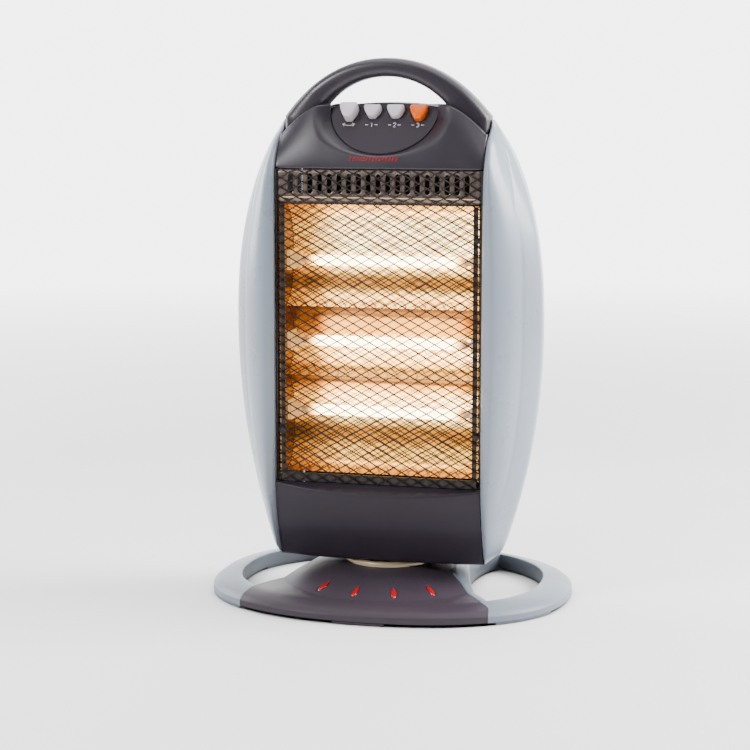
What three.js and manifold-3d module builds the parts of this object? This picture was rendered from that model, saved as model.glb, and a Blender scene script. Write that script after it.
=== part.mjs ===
// Halogen heater: three quartz tubes in reflector troughs behind a diamond mesh guard, in an oval
// body with a carrying handle, that swivels to and fro on an oval ring base.
// Millimetres, +Z up, and the front faces -Y. The sizes below count from the swivel's axis on the
// floor; the finished group is set back so that its origin is the middle of the base on the floor.
import * as THREE from "three";
import { mergeVertices } from "three/addons/utils/BufferGeometryUtils.js";
import Module from "manifold-3d";

const wasm = await Module();
wasm.setup();

// ---------------------------------------------------------------- driving dimensions

const GAP = 0.3; // between pieces that touch
const OVER = 1; // how far a cutting tool runs past a face
const ROUND = 16; // facets of a small round piece
const BIG_ROUND = 36; // facets of a large one

// Body outline seen from the front: two superellipse halves that meet at the widest level.
const HEIGHT = 560; // top of the handle
const BODY_HALF_WIDTH = 162.4;
const WIDEST_Z = 292.6;
const UPPER_POWER = 2.2;
const UPPER_ROOT = 2.1;
const LOWER_REACH = 432.6;
const LOWER_POWER = 2.1;
const LOWER_ROOT = 1.2;

const BODY_BOTTOM_Z = 43;
const GRILLE_BOTTOM_Z = 126;
const GRILLE_TOP_Z = HEIGHT - 111.5;
const SEAM_X = 108.3; // plane between the side covers and the middle panels
const MID_Y = -6; // depth at which the body is widest
const FACE_Y = -52; // front plane of the middle
const BACK_Y = 54; // rear plane of the middle
const REAR_FLAT_Z = 76; // the rear plane is flat from here
const REAR_FLAT_TOP_Z = GRILLE_TOP_Z - 36.5; // up to here
const WALL = 2.5; // moulded walls
const SHEET = 1; // sheet metal

// Side covers
const COVER_TOP_Z = HEIGHT - 72;
const COVER_CORNER = 14; // bottom corner radius
const COVER_LIP = 6; // depth of the front edge that the guard sits against
const COVER_FACE_BULGE = 4; // how far the cover's edge stands in front of the grille
const COVER_HOLLOW_MIN = 12; // narrower than this the cover is solid

// Crest where the front and rear panels turn over into the handle
const CREST_Z = HEIGHT - 46.5;
const CREST_FLAT_X = 62;
const CREST_SEAM_Z = HEIGHT - 79;
const CREST_ROUND = 0.62; // 1 is a straight shoulder, smaller is rounder
const FRONT_CREST_Y = -30;
const REAR_CREST_Y = 26;
const LEAN_POWER = 1.5;

// Handle
const GRIP_RADIUS = 82.8; // inner arc of the hand opening
const GRIP_TOP_Z = HEIGHT - 19.1;
const HANDLE_FRONT_Y = -23.7;
const HANDLE_TOP_DEPTH = 30;
const FOOT_REAR_Y = 20;
const FOOT_BOTTOM_Z = GRILLE_TOP_Z + 3.5;
const HANDLE_FACETS = 12;

// Console in its scoop
const SCOOP_CENTRE_Z = HEIGHT - 52;
const SCOOP_LOW_HALF_WIDTH = 75.7; // of the lip's ellipse where it crosses the panel's foot
const SCOOP_HIGH_HALF_WIDTH = 68.6; // and at its ends
const SCOOP_DROP = 46;
const CONSOLE_HALF_WIDTH = 56;
const CONSOLE_DROP = 44.5;
const CONSOLE_LOW_Y = -46;
const CONSOLE_TOP_Y = -15.5;
const CONSOLE_TOP_Z = HEIGHT - 45;
const CONSOLE_CROWN = 5; // rise of the console's top edge in the middle

// Buttons, along the console's own slope
const BUTTON_PITCH = 24;
const BUTTON_WIDTH = 18;
const BUTTON_TOP_V = 54.3; // top of the caps, from the foot of the console's face
const BUTTON_HEIGHTS = [20.5, 15.7, 15.7, 19.5];
const BUTTON_OUT = 8; // how far a latched cap stands out
const BUTTON_TRAVEL = 4.5;
const BUTTON_CLEAR = 0.5;
const BUTTON_BACK = 5; // cap's skirt behind the face
const STEM = 6; // square stem
const STEM_END = 22; // depth of the stem's end behind the face

// Lower front panel
const LOWER_BULGE = 10;
const LOWER_LEDGE_DROP = 8;

// Guard, its frame and the vent plate
const GUARD_WIRE = 1.4;
const GUARD_HEM = 4;
const DIAMOND_WIDTH = 43;
const DIAMOND_HEIGHT = 25;
const BAR_X = 100.5;
const BAR_WIDTH = 4.6;
const BAR_THICK = 2;
const SILL_HEIGHT = 9; // the sill closes the strip under the troughs
const FRAME_BOTTOM_Z = GRILLE_BOTTOM_Z + 7;
const FRAME_TAB_ZS = [FRAME_BOTTOM_Z + 48, GRILLE_TOP_Z - 69.5];
const VENT_BOTTOM_Z = GRILLE_TOP_Z - 35.5;
const VENT_SLOTS = 19;
const VENT_PITCH = 10.15;
const VENT_SLOT_WIDTH = 4.2;
const VENT_SLOT_BOTTOM_Z = VENT_BOTTOM_Z + 11;
const VENT_SLOT_TOP_Z = GRILLE_TOP_Z - 4.5;

// Heating elements
const TROUGH_HEIGHTS = [101, 72]; // the lower two; the top one fills up to the vent plate
const REFLECTOR_EDGES_Z = [
  VENT_BOTTOM_Z,
  FRAME_BOTTOM_Z + 1 + TROUGH_HEIGHTS[0] + TROUGH_HEIGHTS[1],
  FRAME_BOTTOM_Z + 1 + TROUGH_HEIGHTS[0],
  FRAME_BOTTOM_Z + 1,
];
const REFLECTOR_LIP_Y = -36;
const REFLECTOR_DEPTH = 38;
const END_PLATE_X = 103.6;
const END_PLATE_BACK_Y = 8;
const TUBE_LIFTS = [-7, -2, 11.5]; // each tube from the middle of its trough
const TUBE_ZS = TUBE_LIFTS.map((lift, i) => {
  return (REFLECTOR_EDGES_Z[i] + REFLECTOR_EDGES_Z[i + 1]) / 2 + lift;
});
const TUBE_Y = -15;
const TUBE_RADIUS = 5.5;
const TUBE_CAP_RADIUS = 8;
const TUBE_CAP_LENGTH = 13;

// Base
const BASE_HALF_WIDTH = 190.4;
const BASE_HALF_DEPTH = 149.1;
const BASE_POWER = 2.3;
const BASE_CENTRE_Y = 14.3;
const BASE_UNDERSIDE_Z = 3;
const RIM_WALL_Z = 9;
const RING_TOP_Z = 18.5;
const RING_INNER = 0.84; // inner edge as a share of the outline
const HUB_TOP_Z = 38; // where the cone meets the collar
const HUB_FOOT_RADIUS = RING_INNER * BASE_HALF_DEPTH - BASE_CENTRE_Y; // it runs out at the ring
const FAN_HALF_WIDTH = 130; // base cover at the rim
const FAN_BACK_Y = 8;
const INLAY_RADIUS = HUB_FOOT_RADIUS - 15;
const INLAY_TURN = 4.5; // the row is set round a little
const INLAY_ANGLES = [-35, -11.7, 11.7, 35].map((angle) => angle + INLAY_TURN);
const INLAY_LENGTH = 17;
const INLAY_WIDTH = 5.4;
const INLAY_PROUD = 0.7;
// Foot pads: the middle of each on the rim, and the degrees that it covers.
const SIDE_PAD_SPAN = 28;
const END_PAD_SPAN = 12;
const PADS = [
  [214, SIDE_PAD_SPAN],
  [270, END_PAD_SPAN],
  [326, SIDE_PAD_SPAN],
  [34, SIDE_PAD_SPAN],
  [90, END_PAD_SPAN],
  [146, SIDE_PAD_SPAN],
];

// Steel weight in the base, on bosses
const BALLAST_TOP_Z = BASE_UNDERSIDE_Z + 3;
const BALLAST_THICK = 2;
const BOSS_RADIUS = 4;
const BOSS_PLACES = [
  [-62, -48],
  [62, -48],
  [-62, 60],
  [62, 60],
];

// Swivel
const COLLAR_RADIUS = 46;
const COLLAR_WIDTH = 5;
const DECK_Z = 33; // floor of the hub's recess
const DECK_THICK = 2.6;
const PIVOT_RADIUS = 6.5;
const PIVOT_BORE = 4.5;
const PIVOT_FOOT_Z = 19;
const WASHER_RADIUS = 16;
const NUT_RADIUS = 12;
const CRANK_CENTRE_X = 23.5;
const CRANK_RADIUS = 13.5; // pin centre from the motor's shaft
const PIN_RADIUS = 1.8;
const SLOT_CLEAR = 0.8; // each side of the pin, for the straight slot's error
const MOTOR_RADIUS = 24;
const MOTOR_HEIGHT = 20;
const MOTOR_CENTRE_X = 34; // the shaft stands off the motor's middle

// Tip-over switch
const TIP_Y = BASE_CENTRE_Y + BASE_HALF_DEPTH - 77.4;
const TIP_RADIUS = 5;
const TIP_TRAVEL = 6;
const TIP_HEIGHT = 16;

// ---------------------------------------------------------------- colours

const FINISH = {
  plum: { color: 0x55505a, roughness: 0.35, metalness: 0 },
  grey: { color: 0xa9b3bf, roughness: 0.35, metalness: 0.2 },
  dark: { color: 0x48454c, roughness: 0.5, metalness: 0 },
  white: { color: 0xeeeaf0, roughness: 0.25, metalness: 0 },
  orange: { color: 0xf08a18, roughness: 0.25, metalness: 0 },
  red: { color: 0xd8202c, roughness: 0.25, metalness: 0 },
  black: { color: 0x1c1b1c, roughness: 0.8, metalness: 0 },
  wire: { color: 0x3a2e2a, roughness: 0.5, metalness: 0.6 },
  steel: { color: 0xa8a49c, roughness: 0.4, metalness: 0.9 },
  mirror: { color: 0xe8dccb, roughness: 0.15, metalness: 1 },
  quartz: { color: 0xffe2b0, roughness: 0.1, metalness: 0 },
  ceramic: { color: 0xece6da, roughness: 0.6, metalness: 0 },
  cream: { color: 0xd9cfc0, roughness: 0.3, metalness: 0.5 },
};

// ---------------------------------------------------------------- small helpers

const radians = THREE.MathUtils.degToRad;
const lerp = THREE.MathUtils.lerp;
const range = (count, make) => Array.from({ length: count }, (_, i) => make(i));
const spread = (from, to, count) => range(count, (i) => lerp(from, to, i / (count - 1)));
const flatten = (v) => new THREE.Vector3(...v);

// A smooth curve through points [key, value], read at any key between the first and the last. It
// stays level where two neighbours are equal, and turns only at a point.
function through(points) {
  const last = points.length - 1;
  const slope = (a, b) => (points[b][1] - points[a][1]) / (points[b][0] - points[a][0]);
  const tangent = (i) => {
    const [before, after] = [Math.max(i - 1, 0), Math.min(i + 1, last)];
    const turns = before < i && after > i && slope(before, i) * slope(i, after) <= 0;
    return turns ? 0 : slope(before, after);
  };
  return (key) => {
    if (key <= points[0][0]) return points[0][1];
    if (key >= points[last][0]) return points[last][1];
    const i = points.findIndex((p) => p[0] > key) - 1;
    const [k0, v0] = points[i];
    const [k1, v1] = points[i + 1];
    const m0 = tangent(i) * (k1 - k0);
    const m1 = tangent(i + 1) * (k1 - k0);
    const t = (key - k0) / (k1 - k0);
    const a = 2 * t ** 3 - 3 * t ** 2;
    return (a + 1) * v0 + (t ** 3 - 2 * t ** 2 + t) * m0 - a * v1 + (t ** 3 - t ** 2) * m1;
  };
}

// ---------------------------------------------------------------- closed surfaces

function signedVolume(points, triangles) {
  const [a, b, c] = range(3, () => new THREE.Vector3());
  let six = 0;
  for (let i = 0; i < triangles.length; i += 3) {
    a.set(...points[triangles[i]]);
    b.set(...points[triangles[i + 1]]);
    c.set(...points[triangles[i + 2]]);
    six += a.dot(b.cross(c));
  }
  return six;
}

function fromTriangles(points, triangles) {
  const index = signedVolume(points, triangles) < 0 ? triangles.toReversed() : triangles;
  const geometry = new THREE.BufferGeometry().setFromPoints(points.map(flatten));
  return geometry.setIndex(index);
}

// A skin through section loops of equally many points, capped at both ends, or run round to the
// first one. The caps are triangulated on the two axes that flatAxes names.
function loft(loops, { closed = false, flatAxes = [0, 1] } = {}) {
  const size = loops[0].length;
  const triangles = [];
  const steps = closed ? loops.length : loops.length - 1;
  for (let s = 0; s < steps; s++)
    for (let p = 0; p < size; p++) {
      const here = s * size;
      const next = ((s + 1) % loops.length) * size;
      const q = (p + 1) % size;
      triangles.push(here + p, here + q, next + q, here + p, next + q, next + p);
    }
  if (!closed)
    for (const [at, turned] of [[0, true], [loops.length - 1, false]]) {
      const flat = loops[at].map((v) => new THREE.Vector2(v[flatAxes[0]], v[flatAxes[1]]));
      const backwards = THREE.ShapeUtils.isClockWise(flat);
      for (const [a, b, c] of THREE.ShapeUtils.triangulateShape(flat, [])) {
        const tri = turned === backwards ? [a, b, c] : [a, c, b];
        triangles.push(...tri.map((v) => at * size + v));
      }
    }
  return fromTriangles(loops.flat(), triangles);
}

// The solid between two grids of points with the same rows and columns.
function between(front, back) {
  const rows = front.length;
  const columns = front[0].length;
  const points = [...front.flat(), ...back.flat()];
  const behind = rows * columns;
  const at = (r, c) => r * columns + c;
  const triangles = [];
  const quad = (a, b, c, d) => triangles.push(a, b, c, a, c, d);
  for (let r = 0; r < rows - 1; r++)
    for (let c = 0; c < columns - 1; c++) {
      const corners = [at(r, c), at(r, c + 1), at(r + 1, c + 1), at(r + 1, c)];
      quad(...corners);
      quad(...corners.map((v) => v + behind).reverse());
    }
  const rim = [
    ...range(columns - 1, (c) => at(0, c)),
    ...range(rows - 1, (r) => at(r, columns - 1)),
    ...range(columns - 1, (c) => at(rows - 1, columns - 1 - c)),
    ...range(rows - 1, (r) => at(rows - 1 - r, 0)),
  ];
  rim.forEach((a, i) => {
    const b = rim[(i + 1) % rim.length];
    quad(b, a, a + behind, b + behind);
  });
  return fromTriangles(points, triangles);
}

const box = (x0, x1, y0, y1, z0, z1) =>
  new THREE.BoxGeometry(x1 - x0, y1 - y0, z1 - z0).translate(
    (x0 + x1) / 2,
    (y0 + y1) / 2,
    (z0 + z1) / 2,
  );

// Round bars along Z, X and Y.
const rodZ = (radius, x, y, z0, z1, facets = ROUND) =>
  new THREE.CylinderGeometry(radius, radius, z1 - z0, facets)
    .rotateX(Math.PI / 2)
    .translate(x, y, (z0 + z1) / 2);
const rodX = (radius, x0, x1, y, z, facets = ROUND) =>
  new THREE.CylinderGeometry(radius, radius, x1 - x0, facets)
    .rotateZ(Math.PI / 2)
    .translate((x0 + x1) / 2, y, z);
const rodY = (radius, x, y0, y1, z, facets = ROUND) =>
  new THREE.CylinderGeometry(radius, radius, y1 - y0, facets).translate(x, (y0 + y1) / 2, z);

const shapeOf = (points) => new THREE.Shape(points.map(([a, b]) => new THREE.Vector2(a, b)));

// An outline of [x, y] points raised from z0 to z1.
const plateZ = (outline, z0, z1) =>
  new THREE.ExtrudeGeometry(shapeOf(outline), { depth: z1 - z0, bevelEnabled: false }).translate(
    0,
    0,
    z0,
  );

// An outline of [x, z] points, from y0 back to y1.
const plateY = (outline, y0, y1) =>
  new THREE.ExtrudeGeometry(shapeOf(outline), { depth: y1 - y0, bevelEnabled: false })
    .rotateX(Math.PI / 2)
    .translate(0, y1, 0);

// An outline of [y, z] points, from x0 to x1.
const plateX = (outline, x0, x1) =>
  new THREE.ExtrudeGeometry(shapeOf(outline), { depth: x1 - x0, bevelEnabled: false })
    .rotateX(Math.PI / 2)
    .rotateZ(Math.PI / 2)
    .translate(x0, 0, 0);

const ringZ = (outer, inner, z0, z1, facets = BIG_ROUND) =>
  new THREE.LatheGeometry(
    [[inner, z0], [outer, z0], [outer, z1], [inner, z1], [inner, z0]].map(
      ([r, z]) => new THREE.Vector2(r, z),
    ),
    facets,
  ).rotateX(Math.PI / 2);

// ---------------------------------------------------------------- cutting and joining

function solid(geometry) {
  const bare = geometry.index ? geometry.toNonIndexed() : geometry.clone();
  bare.deleteAttribute("normal");
  bare.deleteAttribute("uv");
  const merged = mergeVertices(bare, 1e-4);
  return new wasm.Manifold(
    new wasm.Mesh({
      numProp: 3,
      vertProperties: merged.attributes.position.array,
      triVerts: new Uint32Array(merged.index.array),
    }),
  );
}

const join = (...geometries) => geometries.map(solid).reduce((a, b) => a.add(b));
const cut = (body, ...tools) => tools.reduce((a, tool) => a.subtract(solid(tool)), body);

function geometryOf(body) {
  const mesh = body.getMesh();
  const positions = new Float32Array(mesh.numVert * 3);
  for (let i = 0; i < mesh.numVert; i++)
    positions.set(mesh.vertProperties.subarray(i * mesh.numProp, i * mesh.numProp + 3), i * 3);
  return new THREE.BufferGeometry()
    .setAttribute("position", new THREE.BufferAttribute(positions, 3))
    .setIndex([...mesh.triVerts]);
}

const heater = new THREE.Group();
heater.name = "halogen_heater";

// Adds one named piece, from a geometry or a cut solid.
function piece(name, finish, shape) {
  const geometry = shape.isBufferGeometry ? shape : geometryOf(shape);
  geometry.computeVertexNormals();
  const mesh = new THREE.Mesh(geometry, new THREE.MeshStandardMaterial(FINISH[finish]));
  mesh.name = name;
  heater.add(mesh);
}

// ---------------------------------------------------------------- the body's form

// Half width of the whole outline at a level.
function halfWidth(z) {
  if (z >= WIDEST_Z) {
    const t = Math.min((z - WIDEST_Z) / (HEIGHT - WIDEST_Z), 1);
    return BODY_HALF_WIDTH * (1 - t ** UPPER_POWER) ** (1 / UPPER_ROOT);
  }
  const t = (WIDEST_Z - z) / LOWER_REACH;
  return BODY_HALF_WIDTH * (1 - t ** LOWER_POWER) ** (1 / LOWER_ROOT);
}

// Depth of the body's front and rear edges at the seam plane, from the bottom to the covers' top.
const seamFront = through([
  [BODY_BOTTOM_Z, FACE_Y + 20],
  [BODY_BOTTOM_Z + 17, FACE_Y + 12.5],
  [BODY_BOTTOM_Z + 40, FACE_Y + 4],
  [GRILLE_BOTTOM_Z, FACE_Y - COVER_FACE_BULGE],
  [WIDEST_Z, FACE_Y - COVER_FACE_BULGE - 1],
  [GRILLE_TOP_Z - 20, FACE_Y - COVER_FACE_BULGE + 1],
  [GRILLE_TOP_Z, FACE_Y],
  [GRILLE_TOP_Z + 20, FACE_Y + 11.5],
  [COVER_TOP_Z - 8, FACE_Y + 22],
  [COVER_TOP_Z, FACE_Y + 38],
]);
const seamRear = through([
  [BODY_BOTTOM_Z, BACK_Y - 16],
  [BODY_BOTTOM_Z + 14, BACK_Y - 6],
  [REAR_FLAT_Z, BACK_Y],
  [REAR_FLAT_TOP_Z, BACK_Y],
  [GRILLE_TOP_Z, BACK_Y - 3],
  [GRILLE_TOP_Z + 20, BACK_Y - 15],
  [COVER_TOP_Z - 8, BACK_Y - 28],
  [COVER_TOP_Z, BACK_Y - 44],
]);

// Level of the crest above the panels, falling from the hand opening to the seam.
function crest(x) {
  const t = (Math.abs(x) - CREST_FLAT_X) / (SEAM_X - CREST_FLAT_X);
  if (t <= 0) return CREST_Z;
  return CREST_Z - (CREST_Z - CREST_SEAM_Z) * Math.min(t, 1) ** (1 / CREST_ROUND);
}

// How far a point between the grille's top and the crest has leaned back, 0 to 1.
function lean(x, z) {
  const t = (z - GRILLE_TOP_Z) / (crest(x) - GRILLE_TOP_Z);
  return THREE.MathUtils.clamp(t, 0, 1) ** LEAN_POWER;
}

// ---------------------------------------------------------------- side covers

// Points round a cover's section, from its front seam edge to its rear one: the share of the way
// out from the seam, and the share of the way from the widest point to the edge's depth.
const COVER_FRONT = [
  [0, 1],
  [0.09, 1.085],
  [0.24, 1.12],
  [0.5, 0.9],
  [0.77, 0.5],
  [0.93, 0.22],
  [1, 0],
];
const COVER_REAR = [
  [0.97, 0.28],
  [0.86, 0.55],
  [0.62, 0.8],
  [0.32, 0.95],
  [0, 1],
];

function coverLoop(z, inset) {
  const fromBottom = Math.min(z - BODY_BOTTOM_Z - inset, COVER_CORNER);
  const corner = COVER_CORNER - Math.sqrt(COVER_CORNER ** 2 - (COVER_CORNER - fromBottom) ** 2);
  const out = halfWidth(z) - SEAM_X - inset - corner;
  const front = seamFront(z) + inset + corner / 2;
  const rear = seamRear(z) - inset - corner / 2;
  const lip = inset ? COVER_LIP - inset : 0;
  const edge = (share) => (inset ? Math.max(0, 1 - share / 0.24) * lip : 0);
  const seam = inset ? SEAM_X - OVER : SEAM_X;
  return [
    ...COVER_FRONT.map(([a, b]) => [
      a ? SEAM_X + out * a : seam,
      MID_Y + (front - MID_Y) * b + edge(a),
      z,
    ]),
    ...COVER_REAR.map(([a, b]) => [a ? SEAM_X + out * a : seam, MID_Y + (rear - MID_Y) * b, z]),
  ];
}

function coverLevels(from, to) {
  const corner = [0, 0.1, 0.4, 1].map((t) => from + COVER_CORNER * t);
  const upper = [-58.5, -26.5, -0.5, 11.5, 21.5, 31.5, 39.5].map((z) => GRILLE_TOP_Z + z);
  const middle = [83, 105, 126, 180, 236, 292, 345, ...upper];
  return [...corner, ...middle.filter((z) => z > corner.at(-1) + 3 && z < to - 2), to];
}

function sideCover(side) {
  const hollowTop = coverLevels(BODY_BOTTOM_Z, COVER_TOP_Z).findLast(
    (z) => halfWidth(z) - SEAM_X > COVER_HOLLOW_MIN,
  );
  const skin = loft(coverLevels(BODY_BOTTOM_Z, COVER_TOP_Z).map((z) => coverLoop(z, 0)));
  const hollow = loft(coverLevels(BODY_BOTTOM_Z + WALL, hollowTop).map((z) => coverLoop(z, WALL)));
  return side > 0 ? cut(solid(skin), hollow) : mirrored(cut(solid(skin), hollow));
}

// The same solid on the other side of the middle plane.
function mirrored(body) {
  const geometry = geometryOf(body).scale(-1, 1, 1);
  return solid(geometry.setIndex([...geometry.index.array].reverse()));
}

// ---------------------------------------------------------------- front and rear panels

const PANEL_HALF_WIDTH = SEAM_X - GAP;
const PANEL_XS = [-1, -0.92, -0.82, -0.7, -0.58, -0.3].map(
  (t) => t * PANEL_HALF_WIDTH,
);
const PANEL_COLUMNS = [...PANEL_XS, 0, ...PANEL_XS.map((x) => -x).reverse()];

// Depth of the console's face at a level.
const consoleY = (z) => {
  const share = (z - CONSOLE_LOW_Z) / (CONSOLE_TOP_Z - CONSOLE_LOW_Z);
  return lerp(CONSOLE_LOW_Y, CONSOLE_TOP_Y, share);
};

// Round the scoop's half ellipse and straight up from its two ends. The half width may differ with
// how far out a point lies.
function scoopLoop(halfAcrossAt, drop, top) {
  const arc = spread(180, 360, 25).map((a) => {
    const half = halfAcrossAt(Math.abs(Math.cos(radians(a))));
    return [half * Math.cos(radians(a)), SCOOP_CENTRE_Z + drop * Math.sin(radians(a))];
  });
  const half = halfAcrossAt(1);
  return [[half, top], [-half, top], ...arc];
}

// The scoop runs from its lip on the panel's face back to the console's edge. As a cutter it goes on
// in front of the face, up to frontY.
function scoopTool(margin, frontY) {
  const edge = scoopLoop(() => CONSOLE_HALF_WIDTH + margin, CONSOLE_DROP + margin, HEIGHT);
  const lip = scoopLoop(
    (out) => lerp(SCOOP_LOW_HALF_WIDTH, SCOOP_HIGH_HALF_WIDTH, out ** 3) + margin,
    SCOOP_DROP + margin,
    HEIGHT,
  );
  const inner = edge.map(([x, z]) => [x, consoleY(z), z]);
  const outer = lip.map(([x, z], i) => {
    const [innerX, innerY, innerZ] = inner[i];
    const reach = (frontY - innerY) / (faceY(x, Math.min(z, crest(x))) - innerY);
    return [lerp(innerX, x, reach), frontY, lerp(innerZ, z, reach)];
  });
  return loft([outer, inner], { flatAxes: [0, 2] });
}

// Depth of the upper panel's face.
const faceY = (x, z) => lerp(FACE_Y, FRONT_CREST_Y, lean(x, z));

function panelGrid(levels, y) {
  return levels.map((share) =>
    PANEL_COLUMNS.map((x) => {
      const z = lerp(GRILLE_TOP_Z + GAP, crest(x), share);
      return [x, y(x, z), z];
    }),
  );
}

function upperFrontPanel() {
  const rear = HANDLE_FRONT_Y - GAP;
  const levels = spread(0, 1, 8);
  const bulk = between(
    panelGrid(levels, faceY),
    panelGrid(levels, () => rear),
  );
  const shrink = (grid) =>
    grid.map((row, r) =>
      row.map(([x, y, z]) => [
        x * (1 - WALL / PANEL_HALF_WIDTH),
        y,
        r === 0 ? z - OVER : z - WALL * (r / (grid.length - 1)),
      ]),
    );
  const hollow = between(
    shrink(panelGrid(levels, (x, z) => faceY(x, z) + WALL)),
    shrink(panelGrid(levels, () => rear + OVER)),
  );
  const scoopWall = solid(scoopTool(WALL, FACE_Y - OVER)).intersect(solid(bulk));
  const shell = cut(solid(bulk), hollow).add(scoopWall);
  return cut(shell, scoopTool(0, FACE_Y - 2 * OVER));
}

function lowerProfile(x, inset) {
  const crown = 1 - (x / SEAM_X) ** 2;
  const ledgeZ = GRILLE_BOTTOM_Z - 1 - LOWER_LEDGE_DROP * crown - inset;
  const top = [FACE_Y + 1.5 + inset, GRILLE_BOTTOM_Z - GAP - inset];
  const face = spread(ledgeZ, BODY_BOTTOM_Z, 8).map((z) => [
    seamFront(z) - LOWER_BULGE * crown * lerp(0.8, 1, (z - BODY_BOTTOM_Z) / 80) + inset,
    z,
  ]);
  return [top, ...face];
}

function lowerFrontPanel() {
  const grid = (inset) =>
    PANEL_COLUMNS.map((x) => lowerProfile(x, inset).map(([y, z]) => [x, y, z]));
  return between(grid(0), grid(WALL));
}

const REAR_VENT_PITCH = 12;
const REAR_VENT_ZS = [
  ...range(7, (i) => REAR_FLAT_TOP_Z - 10 - REAR_VENT_PITCH * (6 - i)),
  ...range(5, (i) => REAR_FLAT_Z + 64 + REAR_VENT_PITCH * i),
];
const REAR_VENT_HALF = 62;
const REAR_VENT_HEIGHT = 5;
const INLET_Z = 98;
const INLET_RADIUS = 7;

function rearPanel() {
  const levels = [
    ...spread(BODY_BOTTOM_Z, REAR_FLAT_Z, 5),
    ...spread(REAR_FLAT_TOP_Z, GRILLE_TOP_Z, 3),
  ];
  const skin = (inset) => [
    ...levels.map((z) => PANEL_COLUMNS.map((x) => [x, seamRear(z) - inset, z])),
    ...panelGrid(spread(0.25, 1, 5), (x, z) => {
      return lerp(BACK_Y - 3, REAR_CREST_Y, lean(x, z)) - inset;
    }),
  ];
  const vents = REAR_VENT_ZS.map((z) =>
    box(-REAR_VENT_HALF, REAR_VENT_HALF, 0, BACK_Y + OVER, z, z + REAR_VENT_HEIGHT),
  );
  const inlet = rodY(INLET_RADIUS + GAP, 0, 0, BACK_Y + OVER, INLET_Z);
  const screws = REAR_SCREWS.map(([x, z]) =>
    rodY(SCREW_RADIUS + GAP, x, 0, BACK_Y + OVER, z, 12),
  );
  return cut(solid(between(skin(0), skin(WALL))), ...vents, inlet, ...screws);
}

// Screws through the rear panel.
const SCREW_RADIUS = 2;
const SCREW_HEAD_RADIUS = 4;
const SCREW_HEAD = 2;
const SCREW_LENGTH = 10;
const REAR_SCREW_X = SEAM_X - 16.3;
const REAR_SCREWS = [REAR_FLAT_Z + 102, REAR_FLAT_TOP_Z - 8].flatMap((z) => [
  [-REAR_SCREW_X, z],
  [REAR_SCREW_X, z],
]);

function rearScrew([x, z]) {
  const seat = seamRear(z) + GAP;
  return join(
    rodY(SCREW_HEAD_RADIUS, x, seat, seat + SCREW_HEAD, z, 16),
    rodY(SCREW_RADIUS, x, seat - SCREW_LENGTH, seat + SCREW_HEAD / 2, z, 12),
  );
}

// ---------------------------------------------------------------- handle

// Where a ray from the grip's centre leaves the body's outline.
function outlineOnRay(angle, centreZ) {
  let near = 0;
  let far = HEIGHT;
  for (let i = 0; i < 40; i++) {
    const reach = (near + far) / 2;
    const z = centreZ + reach * Math.sin(angle);
    const inside = z < HEIGHT && reach * Math.cos(angle) < halfWidth(z);
    if (inside) near = reach;
    else far = reach;
  }
  return near;
}

// Inner and outer edges of the handle, from the right foot up to the top.
function handleStations() {
  const centreZ = GRIP_TOP_Z - GRIP_RADIUS;
  const foot = [FOOT_BOTTOM_Z, FOOT_BOTTOM_Z + 18, COVER_TOP_Z - 4].map((z) => ({
    outer: [Math.min(halfWidth(z), PANEL_HALF_WIDTH), z],
    inner: [CREST_FLAT_X, z],
    rise: 0,
  }));
  const cornerAngle = Math.acos(CREST_FLAT_X / GRIP_RADIUS);
  const low = [0.62, 0.8].map((t) => cornerAngle * t);
  const arch = [...low, ...spread(cornerAngle, Math.PI / 2, 9)].map((angle) => {
    const reach = outlineOnRay(angle, centreZ);
    const inner = Math.min(GRIP_RADIUS, CREST_FLAT_X / Math.max(Math.cos(angle), 1e-6));
    return {
      outer: [reach * Math.cos(angle), centreZ + reach * Math.sin(angle)],
      inner: [inner * Math.cos(angle), centreZ + inner * Math.sin(angle)],
      rise: angle / (Math.PI / 2),
    };
  });
  const right = [...foot, ...arch];
  const left = right
    .slice(0, -1)
    .reverse()
    .map(({ outer, inner, rise }) => ({
      outer: [-outer[0], outer[1]],
      inner: [-inner[0], inner[1]],
      rise,
    }));
  return [...right, ...left];
}

function handleLoop({ outer, inner, rise }) {
  const depth = lerp(FOOT_REAR_Y - HANDLE_FRONT_Y, HANDLE_TOP_DEPTH, rise);
  const power = lerp(4, 2.4, rise);
  return range(HANDLE_FACETS, (i) => {
    const a = (i / HANDLE_FACETS) * 2 * Math.PI;
    const bend = (v) => Math.sign(v) * Math.abs(v) ** (2 / power);
    const across = (1 + bend(Math.cos(a))) / 2;
    const back = (1 + bend(Math.sin(a))) / 2;
    return [
      lerp(inner[0], outer[0], across),
      HANDLE_FRONT_Y + depth * back,
      lerp(inner[1], outer[1], across),
    ];
  });
}

const carryHandle = () => loft(handleStations().map(handleLoop), { flatAxes: [0, 1] });

// ---------------------------------------------------------------- console and buttons

const CONSOLE_LOW_Z = SCOOP_CENTRE_Z - CONSOLE_DROP;
const CONSOLE_SLOPE = Math.atan2(CONSOLE_TOP_Y - CONSOLE_LOW_Y, CONSOLE_TOP_Z - CONSOLE_LOW_Z);

// From the console's own frame, x across, y into the face and z up the slope, to the body's.
const onConsole = (geometry) =>
  geometry.rotateX(-CONSOLE_SLOPE).translate(0, CONSOLE_LOW_Y, CONSOLE_LOW_Z);

const BUTTON_XS = range(4, (i) => (i - 1.5) * BUTTON_PITCH);

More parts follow.
